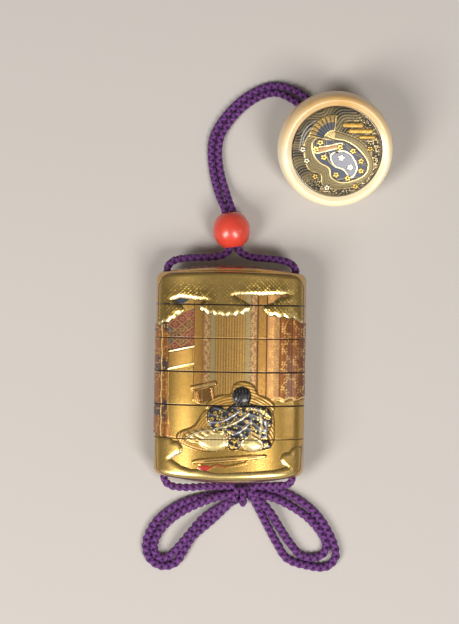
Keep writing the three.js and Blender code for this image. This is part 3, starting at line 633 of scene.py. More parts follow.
def paint_cloud(sheet, outline, ground, pitch, sprinkle):
    """A bank of raised cloud, with a highlight painted along the edges that face the lights, and gold nuggets set in
    it.
    """
    x, y = sheet.x, sheet.y
    cloud = sheet.depth(outline, 9.0)
    # Painted highlight: a pale band just inside the edges of the cloud that face the lights.
    painted_highlight = edge(cloud) * edge(0.1 - sheet.depth(np.asarray(outline) + (0, 0.9), 9.0), 0.5)
    sheet.lay(edge(cloud + 0.3), "#3c2710", metal=0.6)
    sheet.lay(edge(cloud), ground, metal=0.9, rough=0.3)
    grain = nuggets(x, y, pitch)
    thick = 0.65 + 0.35 * np.cos(2 * math.pi * (x + 14.5) / 27)
    weight = edge(cloud) * np.clip(1.5 - cloud / 5, 0, 1) * thick * sprinkle
    sheet.lay(weight * (1 - grain) * 0.8, "#46310f")
    sheet.lay(weight * grain, "#ffdc6e", rough=0.22)
    sheet.lay(painted_highlight, "#f3da98", rough=0.24)
    sheet.lay(edge(cloud, 0.05), height=0)
    sheet.raise_by(pillow(np.minimum(cloud, sheet.depth(FRAME_LINE, 6.0) + 0.4), 1.8) * 0.97
                   + 0.1 * grain * weight, 0.45)
    return cloud


def paint_frame(sheet, cloud):
    """A plain border outside a fine dark line, where the clouds meet the edges of the case."""
    frame = sheet.depth(FRAME_LINE, 6.0)
    sheet.lay(edge(cloud) * edge(-frame), "#c49a56", rough=0.26)
    sheet.lay(edge(cloud) * edge(0.17 - np.abs(frame)), "#4a3014")
    sheet.height -= 0.1 * edge(cloud) * edge(-frame, 0.4)


def paint_front(sheet):
    paint_room(sheet)
    paint_hangings(sheet)
    paint_figure(sheet)
    upper = paint_cloud(sheet, UPPER_CLOUD, "#b79857", 1.5, 1.0)
    lower = paint_cloud(sheet, LOWER_CLOUD, "#c6a45c", 1.2, 0.4)
    # Painted highlight: a pale band along the bottom of the lower cloud, where the rounded end of the case meets the
    # lights.
    sheet.lay(edge(lower) * edge(-36.4 - sheet.y, 1.6), "#ecd08a")
    paint_frame(sheet, np.maximum(upper, lower))


BLOSSOMS = [(-5.2, -14.2), (-2.4, -16.9), (-4.4, -18.8), (0.6, -14.6), (1.4, -17.6), (4.2, -14.4), (6.8, -12.6),
            (6.6, -17.2), (9.6, -13), (1, -21.2), (2.2, -24.4), (1.4, -26.8), (8.8, -19.6), (12.6, -13.6),
            (14.6, -15.6), (15.2, -20), (12.4, -19.6), (14, -25.6), (5.6, -19.6), (-6.4, -16.4), (3.4, -12)]


# %% The back, which the photograph does not show
BACK_CLOUDS = [
    cloud_outline(("line", [(32, 50), (-32, 50)]),
                  ("lobes", [(-32, 19), (-26, 18.5), (-20.5, 21.5), (-16, 27)]),
                  ("line", [(-16, 38.6), (-12, 39.5), (12, 39.5), (16, 38.6)]),
                  ("lobes", [(16, 30), (20, 24), (25.5, 21), (32, 21.5)])),
    cloud_outline(("line", [(32, -50)]),
                  ("lobes", [(32, -26.8), (26, -27), (20.5, -29.5), (16, -35)]),
                  ("line", [(15, -38.6), (12, -39.5), (-12, -39.5), (-16, -38.6)]),
                  ("lobes", [(-18, -33), (-22, -27), (-26, -24.5), (-32, -23.8)]),
                  ("line", [(-32, -50)])),
]


def paint_back(sheet):
    """Plain gold ground sprinkled with dust, with clouds only near the sides."""
    sheet.lay(np.ones(sheet.x.size), "#c4974a")
    for outline in BACK_CLOUDS:
        paint_cloud(sheet, outline, "#b79857", 1.5, 0.8)


def painted(x, y, z):
    """The finished sheet at points of the case: its front where z is above the middle, else its back."""
    sheet = Sheet(x, y)
    front = z > 0
    for side, paint in ((front, paint_front), (~front, paint_back)):
        part = Sheet(x[side], y[side])
        paint(part)
        for name in ("colour", "height", "metal", "rough"):
            getattr(sheet, name)[side] = getattr(part, name)
    return sheet


# %% Rings of the case
def flat_ring(shrink, height, share=1.0):
    """A level ring on the riser's section."""
    x, z = section(RISER_HALF_WIDTH - shrink, RISER_HALF_THICK - shrink, RISER_EXPONENT)
    return np.column_stack([x * share, np.full_like(x, height), z * share])


def vault_ring(way, shrink, share, fall=0.0):
    """A ring of the floor or the ceiling that follows the domed end from inside."""
    ring = flat_ring(shrink, 0, share)
    ring[:, 1] = way * (end_height(ring[:, 0], ring[:, 2]) - END_WALL - fall)
    return ring


def side_row(height, ease=0.0, rise=0.0):
    """A row of the outside at a height, plus a share of the way up to the rounded end."""
    def place(grow):
        x, z = section(HALF_WIDTH, HALF_THICK, SECTION_EXPONENT)
        y = height + rise * (math.copysign(1, height) * (end_height(x, z) - END_EDGE_RADIUS) - height)
        x, z = section(HALF_WIDTH + grow - ease, HALF_THICK + grow - ease, SECTION_EXPONENT)
        return np.column_stack([x, y, z])
    return place


def end_row(way, degrees=90.0, share=1.0):
    """A row round the edge of an end by degrees, or on its dome at a share of the way out."""
    inset = END_EDGE_RADIUS * (1 - math.cos(math.radians(degrees)))
    fall = END_EDGE_RADIUS * (1 - math.sin(math.radians(degrees)))

    def place(grow):
        x, z = section(HALF_WIDTH - inset + grow, HALF_THICK - inset + grow, SECTION_EXPONENT)
        x, z = x * share, z * share
        return np.column_stack([x, way * (end_height(x, z) - fall + grow), z])
    return place


def raised_rows(rows):
    """The rings of rows of the outside, each raised by the relief there."""
    flat = np.array([place(0) for place in rows])
    x, y, z = flat.reshape(-1, 3).T
    heights = painted(x, y, z).height.reshape(flat.shape[:2])
    return [place(grow) for place, grow in zip(rows, heights)]


def side_rows(low, high):
    steps = max(2, round((high - low) / FRONT_STEP))
    middle = np.linspace(low + EDGE_EASE, high - EDGE_EASE, steps)
    return [side_row(low, EDGE_EASE), *(side_row(y) for y in middle), side_row(high, EDGE_EASE)]


def capped_rows(way, start):
    """The rows from a seam to the pole of an end."""
    rows = [side_row(start, EDGE_EASE), side_row(start + way * EDGE_EASE)]
    steps = round((HALF_LENGTH - END_EDGE_RADIUS - abs(start)) / FRONT_STEP)
    rows += [side_row(start, rise=i / steps) for i in range(1, steps)]
    rows += [end_row(way, degrees) for degrees in np.linspace(0, 90, 19)]
    return rows + [end_row(way, share=share) for share in np.linspace(1, 0, 26)[1:-1]]


# %% Tiers
def tier_rings(high, low):
    """A middle tier: tray, riser, outside, and the recess under its floor."""
    floor = low + RECESS_DEPTH + TIER_FLOOR
    return [
        flat_ring(RISER_WALL, floor, 0.5), flat_ring(RISER_WALL, floor),
        flat_ring(RISER_WALL, high + RISER_HEIGHT), flat_ring(0, high + RISER_HEIGHT), flat_ring(0, high),
        *raised_rows(side_rows(low, high)[::-1]),
        flat_ring(-RISER_SIDE_GAP, low), flat_ring(-RISER_SIDE_GAP, low + RECESS_DEPTH),
        flat_ring(-RISER_SIDE_GAP, low + RECESS_DEPTH, 0.5),
    ]


def lid_rings(low):
    inner = [vault_ring(1, 1 - RISER_SIDE_GAP, share) for share in (0.3, 0.7, 1)]
    return [*inner, vault_ring(1, -RISER_SIDE_GAP, 1, fall=1), flat_ring(-RISER_SIDE_GAP, low),
            *raised_rows(capped_rows(1, low))]


def bottom_rings(high):
    inner = [vault_ring(-1, RISER_WALL + 1, share) for share in (0.3, 0.7, 1)]
    return [*inner, vault_ring(-1, RISER_WALL, 1, fall=1), flat_ring(RISER_WALL, high + RISER_HEIGHT),
            flat_ring(0, high + RISER_HEIGHT), flat_ring(0, high), *raised_rows(capped_rows(-1, high))]


def drilled(mesh):
    """The mesh with the two cord channels cut through it."""
    cutter_mesh = bpy.data.meshes.new("channels")
    shape = bmesh.new()
    for side in (-1, 1):
        turn = Matrix.Translation((side * CHANNEL_OFFSET * MM, 0, 0)) @ Matrix.Rotation(math.pi / 2, 4, "X")
        bmesh.ops.create_cone(shape, cap_ends=True, segments=32, radius1=CHANNEL_RADIUS * MM,
                              radius2=CHANNEL_RADIUS * MM, depth=120 * MM, matrix=turn)
    shape.to_mesh(cutter_mesh)
    shape.free()
    cutter = bpy.data.objects.new("channels", cutter_mesh)
    holder = bpy.data.objects.new("holder", mesh)
    for piece in (cutter, holder):
        bpy.context.scene.collection.objects.link(piece)
    cut = holder.modifiers.new("channels", "BOOLEAN")
    cut.operation = "DIFFERENCE"
    cut.solver = "MANIFOLD"
    cut.object = cutter
    result = bpy.data.meshes.new_from_object(holder.evaluated_get(bpy.context.evaluated_depsgraph_get()))
    bpy.data.objects.remove(holder)
    bpy.data.objects.remove(cutter)
    return result


def lacquered(mesh):
    """Gives a tier its paint and finish, point by point, and sets it at its height over the table."""
    points = np.empty(len(mesh.vertices) * 3)
    mesh.vertices.foreach_get("co", points)
    points = points.reshape(-1, 3)
    x, y, z = points.T / MM
    sheet = painted(x, y, z)
    level = np.abs(x / HALF_WIDTH) ** SECTION_EXPONENT + np.abs(z / HALF_THICK) ** SECTION_EXPONENT
    inside = ~((level > 0.9) | (np.abs(y) > end_height(x, z) - 1.2))
    sheet.lay(inside.astype(float), "#6b431f", metal=0.5, rough=0.35)
    # Painted shade: a dark band on the rims at each seam stands in for the shade in the narrow gap between tiers.
    for seam, width in zip(SEAMS, SEAM_SHADE_WIDTHS):
        rim = edge(width / 2 + 0.1 - np.abs(y - seam), 0.1) * ~inside
        sheet.lay(rim, "#1d0f06" if width > 0.3 else "#5a3a18", metal=0.2, rough=0.6)
    paint = mesh.attributes.new("paint", "FLOAT_COLOR", "POINT")
    paint.data.foreach_set("color", np.column_stack([sheet.colour, np.ones(x.size)]).ravel())
    finish = mesh.attributes.new("finish", "FLOAT_VECTOR", "POINT")
    finish.data.foreach_set("vector", np.column_stack([sheet.metal, sheet.rough, inside]).ravel())
    points[:, 2] += AXIS_HEIGHT * MM
    mesh.vertices.foreach_set("co", points.ravel())
    mesh.shade_smooth()
    mesh.set_sharp_from_angle(angle=math.radians(50))
    return mesh


# %% Painted finishes
def painted_material(name, grain, spread, coat):
    """A finish that takes its colour and shine from the sheet, with grains of a size in millimetres."""
    material, tree, shader = new_material(name)
    paint = add_node(tree, "ShaderNodeAttribute", {"attribute_name": "paint"})
    finish = add_node(tree, "ShaderNodeAttribute", {"attribute_name": "finish"})
    parts = add_node(tree, "ShaderNodeSeparateXYZ", {0: finish.outputs["Vector"]})
    place = add_node(tree, "ShaderNodeTexCoord")
    grains = add_node(tree, "ShaderNodeTexVoronoi", {"Vector": place.outputs["Object"], "Scale": 1 / (grain * MM)})
    luck = add_node(tree, "ShaderNodeSeparateColor", {0: grains.outputs["Color"]})
    shine = add_node(tree, "ShaderNodeMapRange", {0: luck.outputs[0], 3: 1 - spread, 4: 1 + spread})
    tint = add_node(tree, "ShaderNodeVectorMath", {"operation": "SCALE", 0: paint.outputs["Color"],
                                                   "Scale": shine.outputs[0]})
    bump = add_node(tree, "ShaderNodeBump", {"Height": luck.outputs[1], "Strength": 0.12, "Distance": 0.02 * MM})
    tree.links.new(tint.outputs[0], shader.inputs["Base Color"])
    tree.links.new(parts.outputs[0], shader.inputs["Metallic"])
    tree.links.new(parts.outputs[1], shader.inputs["Roughness"])
    tree.links.new(bump.outputs[0], shader.inputs["Normal"])
    shader.inputs["Coat Weight"].default_value = coat
    shader.inputs["Coat Roughness"].default_value = 0.12
    return material


lacquer = painted_material("gold lacquer", 0.35, 0.13, 0.5)

# %% The six pieces of the case
edges = [(seam + SEAM_GAP / 2, seam - SEAM_GAP / 2) for seam in SEAMS]
tiers = {"lid": lid_rings(edges[0][0])}
for i in range(4):
    tiers[f"case_{i + 1}"] = tier_rings(edges[i][1], edges[i + 1][0])
tiers["bottom_case"] = bottom_rings(edges[4][1])
for name, rings in tiers.items():
    mesh = lacquered(drilled(closed_skin(name, rings)))
    add_piece("lacquer_" + name, mesh, lacquer, "gold_lacquer", name)

# %% [markdown]
# The bead and the toggle were turned on a lathe, so their skins are rings of a profile. The toggle
# has a bowl of ivory and a domed disc of dark alloy, with a loop under it that holds the cord. The
# disc's picture is drawn with the same tools as the case's.

# %% Turned shapes
def turned(name, profile, columns=120):
    """A closed skin that spins a closed profile of radius and height about Z."""
    angles = np.linspace(0, 2 * math.pi, columns, endpoint=False)
    rings = [np.column_stack([r * np.cos(angles), r * np.sin(angles), np.full(columns, h)]) for r, h in profile]
    return closed_skin(name, rings, poles=False)


def rounded(points, steps=6):
    """An open smooth curve through points of a profile."""
    here = np.asarray(points, float)
    route = np.vstack([2 * here[0] - here[1], here, 2 * here[-1] - here[-2]])
    curve = []
    for p0, p1, p2, p3 in zip(route, route[1:], route[2:], route[3:]):
        for t in np.linspace(0, 1, steps, endpoint=False):
            curve.append(0.5 * (2 * p1 + (p2 - p0) * t + (2 * p0 - 5 * p1 + 4 * p2 - p3) * t ** 2
                                + (3 * p1 - p0 - 3 * p2 + p3) * t ** 3))
    return [tuple(p) for p in curve] + [tuple(here[-1])]


def smooth_faces(mesh, sharp=35):
    mesh.shade_smooth()
    mesh.set_sharp_from_angle(angle=math.radians(sharp))
    return mesh


# %% The bead
BEAD_RADIUS = 7.1
BEAD_HALF_LENGTH = 6.65
BEAD_HOLE_RADIUS = 2.92
BEAD_MOUTH_RADIUS = 0.35
BEAD_CENTRE = (-0.2, 54.95, 7.1)
BEAD_TURN = 8.4                 # degrees from the case's own line

mouth = BEAD_HOLE_RADIUS + BEAD_MOUTH_RADIUS
reach = BEAD_HALF_LENGTH / math.sqrt(1 - (mouth / BEAD_RADIUS) ** 2)
profile = [(BEAD_RADIUS * math.cos(a), reach * math.sin(a))
           for a in np.linspace(-1, 1, 41) * math.asin(BEAD_HALF_LENGTH / reach)]
for way in (1, -1):
    lip = [(mouth - BEAD_MOUTH_RADIUS * math.sin(a), way * (BEAD_HALF_LENGTH - BEAD_MOUTH_RADIUS * (1 - math.cos(a))))
           for a in np.linspace(0, math.pi / 2, 6)[1:]]
    profile += lip if way > 0 else lip[::-1]
mesh = smooth_faces(turned("bead", profile))
mesh.transform(Matrix.Translation(Vector(BEAD_CENTRE) * MM) @ Matrix.Rotation(math.radians(BEAD_TURN), 4, "Z")
               @ Matrix.Rotation(math.pi / 2, 4, "X"))

coral, tree, shader = new_material("polished coral")
place = add_node(tree, "ShaderNodeTexCoord")
cloudy = add_node(tree, "ShaderNodeTexNoise", {"Vector": place.outputs["Object"], "Scale": 1 / (4 * MM)})
tone = add_node(tree, "ShaderNodeMix", {"data_type": "RGBA", 0: cloudy.outputs["Fac"],
                                        6: linear("#c8372a"), 7: linear("#dd4a36")})
tree.links.new(tone.outputs[2], shader.inputs["Base Color"])
shader.inputs["Roughness"].default_value = 0.36
shader.inputs["Coat Weight"].default_value = 0.6
shader.inputs["Coat Roughness"].default_value = 0.2
shader.inputs["Subsurface Weight"].default_value = 0.1
shader.inputs["Subsurface Scale"].default_value = 1 * MM
add_piece("coral_bead", mesh, coral, "coral", "ojime_bead")

# %% The toggle's bowl
BOWL_RADIUS = 21.8
BOWL_FOOT_RADIUS = 13.0
BOWL_HEIGHT = 17.4
BOWL_WAIST_HEIGHT = 9.0
BOWL_FLOOR = 4.0
BOWL_WALL = 4.3
FOOT_HOLE_RADIUS = 3.16
DISC_RADIUS = 16.7
DISC_GAP = 0.32
DISC_EDGE = 1.3
DISC_RISE = 1.5
SEAT_DEPTH = 1.9
SEAT_WIDTH = 1.5
LUG_RADIUS = 2.6
LUG_THICKNESS = 1.5
TOGGLE_FOOT = (38, 88.7)
TOGGLE_TILT = 15                # degrees, because the cord runs under it
TOGGLE_LEAN = (0.2, -0.98)

tilt = math.radians(TOGGLE_TILT)
TOGGLE_PLACE = Matrix.Translation(Vector((*TOGGLE_FOOT, BOWL_FOOT_RADIUS * math.sin(tilt))) * MM) @ (
    Matrix.Rotation(tilt, 4, Vector((-TOGGLE_LEAN[1], TOGGLE_LEAN[0], 0))))
seat_height = BOWL_HEIGHT - SEAT_DEPTH
seat_radius = DISC_RADIUS + DISC_GAP
rim = (BOWL_RADIUS - seat_radius) / 2
outside = rounded([
    (BOWL_FOOT_RADIUS, 0), (BOWL_FOOT_RADIUS + 0.75 * (BOWL_RADIUS - BOWL_FOOT_RADIUS), BOWL_WAIST_HEIGHT * 0.42),
    (BOWL_RADIUS, BOWL_WAIST_HEIGHT), (BOWL_RADIUS - 0.55, BOWL_HEIGHT - rim * 0.95),
    (BOWL_RADIUS - rim * 0.95, BOWL_HEIGHT), (seat_radius + 0.25, BOWL_HEIGHT - 0.75),
])
inside = [
    (seat_radius, seat_height + DISC_EDGE / 2), (seat_radius, seat_height), (seat_radius - 0.9, seat_height),
    (DISC_RADIUS - SEAT_WIDTH, seat_height), (DISC_RADIUS - SEAT_WIDTH, BOWL_WAIST_HEIGHT),
    (BOWL_RADIUS - BOWL_WALL - 4.6, BOWL_FLOOR + 0.6), (BOWL_RADIUS - BOWL_WALL - 8, BOWL_FLOOR),
    (FOOT_HOLE_RADIUS, BOWL_FLOOR), (FOOT_HOLE_RADIUS, 0.4), (FOOT_HOLE_RADIUS + 0.4, 0),
]
mesh = smooth_faces(turned("bowl", outside + inside, columns=180))
mesh.transform(TOGGLE_PLACE)

SHADE_AND_STAIN_FROM = 80                 # pale on the side of the case, darker and browner on the far side: painted shade away from the lights, and stain by age
SHADE_AND_STAIN_TO = 110
ivory, tree, shader = new_material("old polished ivory")
place = add_node(tree, "ShaderNodeTexCoord")
grain = add_node(tree, "ShaderNodeTexNoise", {"Vector": place.outputs["Object"], "Scale": 1 / (9 * MM),
                                              "Detail": 6.0})
parts = add_node(tree, "ShaderNodeSeparateXYZ", {0: place.outputs["Object"]})
# Painted shade with stain by age: the ivory grows darker and browner away from the case and the lights.
shade_and_stain = add_node(tree, "ShaderNodeMapRange", {0: parts.outputs[1], 1: SHADE_AND_STAIN_FROM * MM, 2: SHADE_AND_STAIN_TO * MM, 3: -0.3, 4: 0.7})
share = add_node(tree, "ShaderNodeMath", {"operation": "MULTIPLY_ADD", 0: grain.outputs["Fac"], 1: 0.6,
                                          2: shade_and_stain.outputs[0]})
tone = add_node(tree, "ShaderNodeMix", {"data_type": "RGBA", 0: share.outputs[0],
                                        6: linear("#f7e8c2"), 7: linear("#cfa055")})
tree.links.new(tone.outputs[2], shader.inputs["Base Color"])
shader.inputs["Roughness"].default_value = 0.32
shader.inputs["Coat Weight"].default_value = 0.5
shader.inputs["Coat Roughness"].default_value = 0.14
shader.inputs["Subsurface Weight"].default_value = 0.25
shader.inputs["Subsurface Radius"].default_value = (1.0, 0.6, 0.25)
shader.inputs["Subsurface Scale"].default_value = 3 * MM
add_piece("ivory_bowl", mesh, ivory, "ivory", "netsuke_bowl")

# %% The picture on the disc
CLOAK = smooth_outline([(-9.5, 3.5), (-5.5, 6), (-1.5, 5), (3, 4.2), (7.5, 1.5), (11.5, -3.5), (11, -8), (7, -10.5),
                        (2, -11.5), (-2, -9.5), (-3, -6), (-6.5, -4), (-9, -1)])
LINING = smooth_outline([(-12.6, 2.5), (-9.5, 5.4), (-4, 8.2), (3.4, 6.6), (9.6, 3.4), (13.4, -2.5), (13.4, -7.6),
                         (9, -12), (1, -14), (-5, -12.4), (-6, -8.4), (-11, -6)])
CUFF = smooth_outline([(-2.5, -1), (2, 0.5), (5.5, -1.5), (7.5, -6), (5.5, -9.5), (2.5, -6.5), (-1, -5)])
SASH = smooth_outline([(-8.4, 1.4), (-3.6, 2.4), (1.2, 3.4), (1, 2), (-3.2, 0.8), (-8, -0.4)])
HAZE = [((2.4, 10.2), (8.8, 10.2), 0.8), ((4.6, 8), (12.4, 8), 0.8), ((8.4, 5.7), (13.6, 5.7), 0.65)]
FAN_PIVOT = (-1.6, 4.4)
FAN_REACH = 9.4
DISC_BLOSSOMS = [(-6.6, 3.6, 0), (0.9, 1.9, 0), (5.8, 0.6, 0), (9, -3.2, 0), (9.2, -7, 0), (4.2, -9.9, 0),
                 (-0.2, -8.6, 0), (-5, -1.9, 0), (-8.2, 1.2, 0), (1.4, -2, 1), (4.9, -5.6, 1), (-11.4, -3.4, 1),
                 (-8, -9.4, 0), (-13, 0.8, 1), (12.3, 1.4, 0), (-3.4, -13.6, 1), (7.4, -13, 0)]


def paint_disc(sheet):
    """A cloak strewn with blossoms, an open fan and bands of haze, in gold and silver on dark alloy."""
    x, y = sheet.x, sheet.y
    radius, angle = np.hypot(x, y), np.degrees(np.arctan2(y, x))
    sheet.metal[:] = 0.6
    sheet.rough[:] = 0.46
    sheet.lay(np.ones(x.size), "#2e2d29")
    drift = y - 0.5 * x + 1.3 * np.sin(0.45 * x + 0.3 * y)
    lines = np.sin(2 * math.pi * drift / 1.25)
    sheet.lay(edge(np.sin(drift * 0.8) - 0.1, 1.2) * 0.7, "#6b6043")
    sheet.lay(edge(lines - 0.75, 0.4) * 0.55, "#a8946a")
    sheet.raise_by(edge(lines, 1.5), 0.07)
    near_rim = edge(radius - 11.6, 2.5) * edge(16.1 - radius, 0.4) * edge(95 - np.abs(angle + 35), 30)
    sheet.lay(near_rim * 0.7, "#1c1b1a")
    sheet.lay(near_rim * flakes(x, y, 0.55, 0.5), "#e6cf9c", metal=0.9, rough=0.34)
    for i in range(4):
        strand = np.abs(radius - 11.4 - 1.05 * i - 0.3 * np.sin(np.radians(angle * 7 + 50 * i)))
        arc = edge(26 - np.abs(angle - 128 - 8 * i), 8)
        sheet.lay(edge(0.16 - strand) * arc * 0.8, "#b9b6ae", metal=0.7, rough=0.4)

    for start, end, half in HAZE:
        bar = half - sheet.away([start, end])
        sheet.lay(edge(bar + 0.25), "#23221f")
        sheet.lay(edge(bar), "#a8823a", metal=0.6, rough=0.42)
        sheet.lay(edge(bar) * flakes(x, y, 0.6, 0.5), "#d8b968")
        sheet.raise_by(pillow(bar, 0.6), 0.2)

    lining = sheet.depth(LINING)
    sheet.lay(edge(lining), "#82744f", metal=0.5)
    sheet.lay(edge(lining) * edge(np.sin(2 * math.pi * lining / 0.9) - 0.2, 0.6) * 0.6, "#4a432f")
    sheet.lay(edge(0.14 - np.abs(lining)), "#d8c08a", metal=0.85)
    sheet.raise_by(pillow(lining, 0.8), 0.22)
    cloak = sheet.depth(CLOAK)
    fold = np.sin(2 * math.pi * (x + 0.8 * y + 0.12 * x * y) / 5.2)
    sheet.lay(edge(cloak), "#4b505d", metal=0.35, rough=0.5)
    sheet.lay(edge(cloak) * edge(fold - 0.4, 0.8) * 0.5, "#2c2f39")
    sheet.lay(edge(cloak - 0.4) * edge(0.1 - np.abs(fold - 0.7), 0.12) * 0.7, "#cbb78b", metal=0.8)
    sheet.raise_by(pillow(cloak, 0.9) * (0.93 + 0.07 * fold), 0.46)
    for shape, colour in ((SASH, "#b88d62"), (CUFF, "#878994")):
        inside = sheet.depth(shape)
        sheet.lay(edge(inside), colour, metal=0.3, rough=0.5)
        sheet.lay(edge(0.2 - np.abs(inside)), "#f6e3b0", metal=0.9, rough=0.34)
        sheet.raise_by(pillow(inside, 0.6), 0.54)
    sheet.lay(edge(0.2 - np.abs(cloak)), "#f2dca2", metal=0.9, rough=0.34)

    fan_x, fan_y = x - FAN_PIVOT[0], y - FAN_PIVOT[1]
    reach, turn = np.hypot(fan_x, fan_y), np.degrees(np.arctan2(fan_y, fan_x))
    half_open = np.radians(44 - np.abs(turn - 128)) * reach
    paper = np.minimum(np.minimum(FAN_REACH - reach, reach - 3.6), half_open)
    sticks = np.minimum(np.minimum(3.6 - reach, reach), half_open + 0.1)
    pleat = 0.5 + 0.5 * np.cos(np.radians(turn - 128) * 360 / 11)
    sheet.lay(edge(sticks) * edge(pleat - 0.45, 0.3), "#d6bd84", metal=0.85, rough=0.36)
    sheet.lay(edge(paper + 0.2), "#201f1d")
    sheet.lay(edge(paper), "#50535c", metal=0.4)
    sheet.lay(edge(paper) * edge(reach - 6.9, 0.4) * (0.35 + 0.65 * flakes(x, y, 0.7, 0.6)), "#d9ae4c", metal=0.9)
    sheet.lay(edge(paper) * edge(0.12 - pleat, 0.16), "#23232a")
    sheet.lay(edge(0.16 - np.abs(paper - 0.1)), "#f0d48c", metal=0.9, rough=0.34)
    sheet.raise_by(edge(paper, 0.4) * (0.7 + 0.3 * pleat), 0.36)

    for bx, by, pale in DISC_BLOSSOMS:
        petals = [(bx + 0.68 * math.cos(1.2566 * k + bx), by + 0.68 * math.sin(1.2566 * k + bx)) for k in range(5)]
        sheet.lay(sheet.dots([(bx, by)], 1.25), "#2a2b30", metal=0.5)
        sheet.lay(sheet.dots(petals, 0.42), "#fbf0cf" if pale else "#f0cc74", metal=0.85, rough=0.34)
        sheet.lay(sheet.dots([(bx, by)], 0.26), "#4a3a22")
        sheet.raise_by(sheet.dots(petals, 0.4), 0.58)


# %% The toggle's disc
angles = np.linspace(0, 2 * math.pi, 420, endpoint=False)
shares = np.linspace(0.012, 1, 84)
x = (DISC_RADIUS * shares[:, None] * np.cos(angles)).ravel()
y = (DISC_RADIUS * shares[:, None] * np.sin(angles)).ravel()
sheet = Sheet(x, y)
paint_disc(sheet)
fade = edge(DISC_RADIUS - 0.35 - np.hypot(x, y), 0.5)
z = DISC_EDGE + DISC_RISE * (1 - (np.hypot(x, y) / DISC_RADIUS) ** 2) + sheet.height * fade
rings = list(np.column_stack([x, y, z]).reshape(len(shares), len(angles), 3))
for share, height in ((1, DISC_EDGE * 0.5), (1, 0), (0.5, 0)):
    rings.append(np.column_stack([DISC_RADIUS * share * np.cos(angles), DISC_RADIUS * share * np.sin(angles),
                                  np.full(len(angles), height)]))
mesh = closed_skin("disc", rings)
around = np.linspace(0, 2 * math.pi, 16, endpoint=False)
lug_rings = [np.column_stack([(LUG_RADIUS + LUG_THICKNESS / 2 * np.cos(around)) * math.cos(a),
                              LUG_THICKNESS / 2 * np.sin(around),
                              (LUG_RADIUS + LUG_THICKNESS / 2 * np.cos(around)) * math.sin(a)])
             for a in np.linspace(0, 2 * math.pi, 40, endpoint=False)]
lug = closed_skin("lug", lug_rings, poles=False)
shape = bmesh.new()
shape.from_mesh(mesh)
shape.from_mesh(lug)
shape.to_mesh(mesh)
shape.free()
colours = np.tile(np.array(linear("#3d3b3c")), (len(mesh.vertices), 1))
colours[:x.size, :3] = sheet.colour
finishes = np.tile(np.array([0.75, 0.42, 0.0]), (len(mesh.vertices), 1))
finishes[:x.size, 0], finishes[:x.size, 1] = sheet.metal, sheet.rough
mesh.attributes.new("paint", "FLOAT_COLOR", "POINT").data.foreach_set("color", colours.ravel())
mesh.attributes.new("finish", "FLOAT_VECTOR", "POINT").data.foreach_set("vector", finishes.ravel())
mesh.transform(TOGGLE_PLACE @ Matrix.Translation((0, 0, (seat_height + DISC_GAP) * MM)))
add_piece("alloy_disc", smooth_faces(mesh, 60), painted_material("dark alloy with gold and silver", 0.5, 0.08, 0),
          "dark_alloy", "netsuke_disc")

# %% [markdown]
# The cord is one long braid of purple silk, doubled. Four strands cross over and under each
# other, two turning each way round, which gives the two columns of slanting lumps that show from
# any side. A curve could carry a plain tube, but the braid is what the eye reads as cord, so each
# strand is a thin curve of its own, wound round the cord's route and made a mesh.

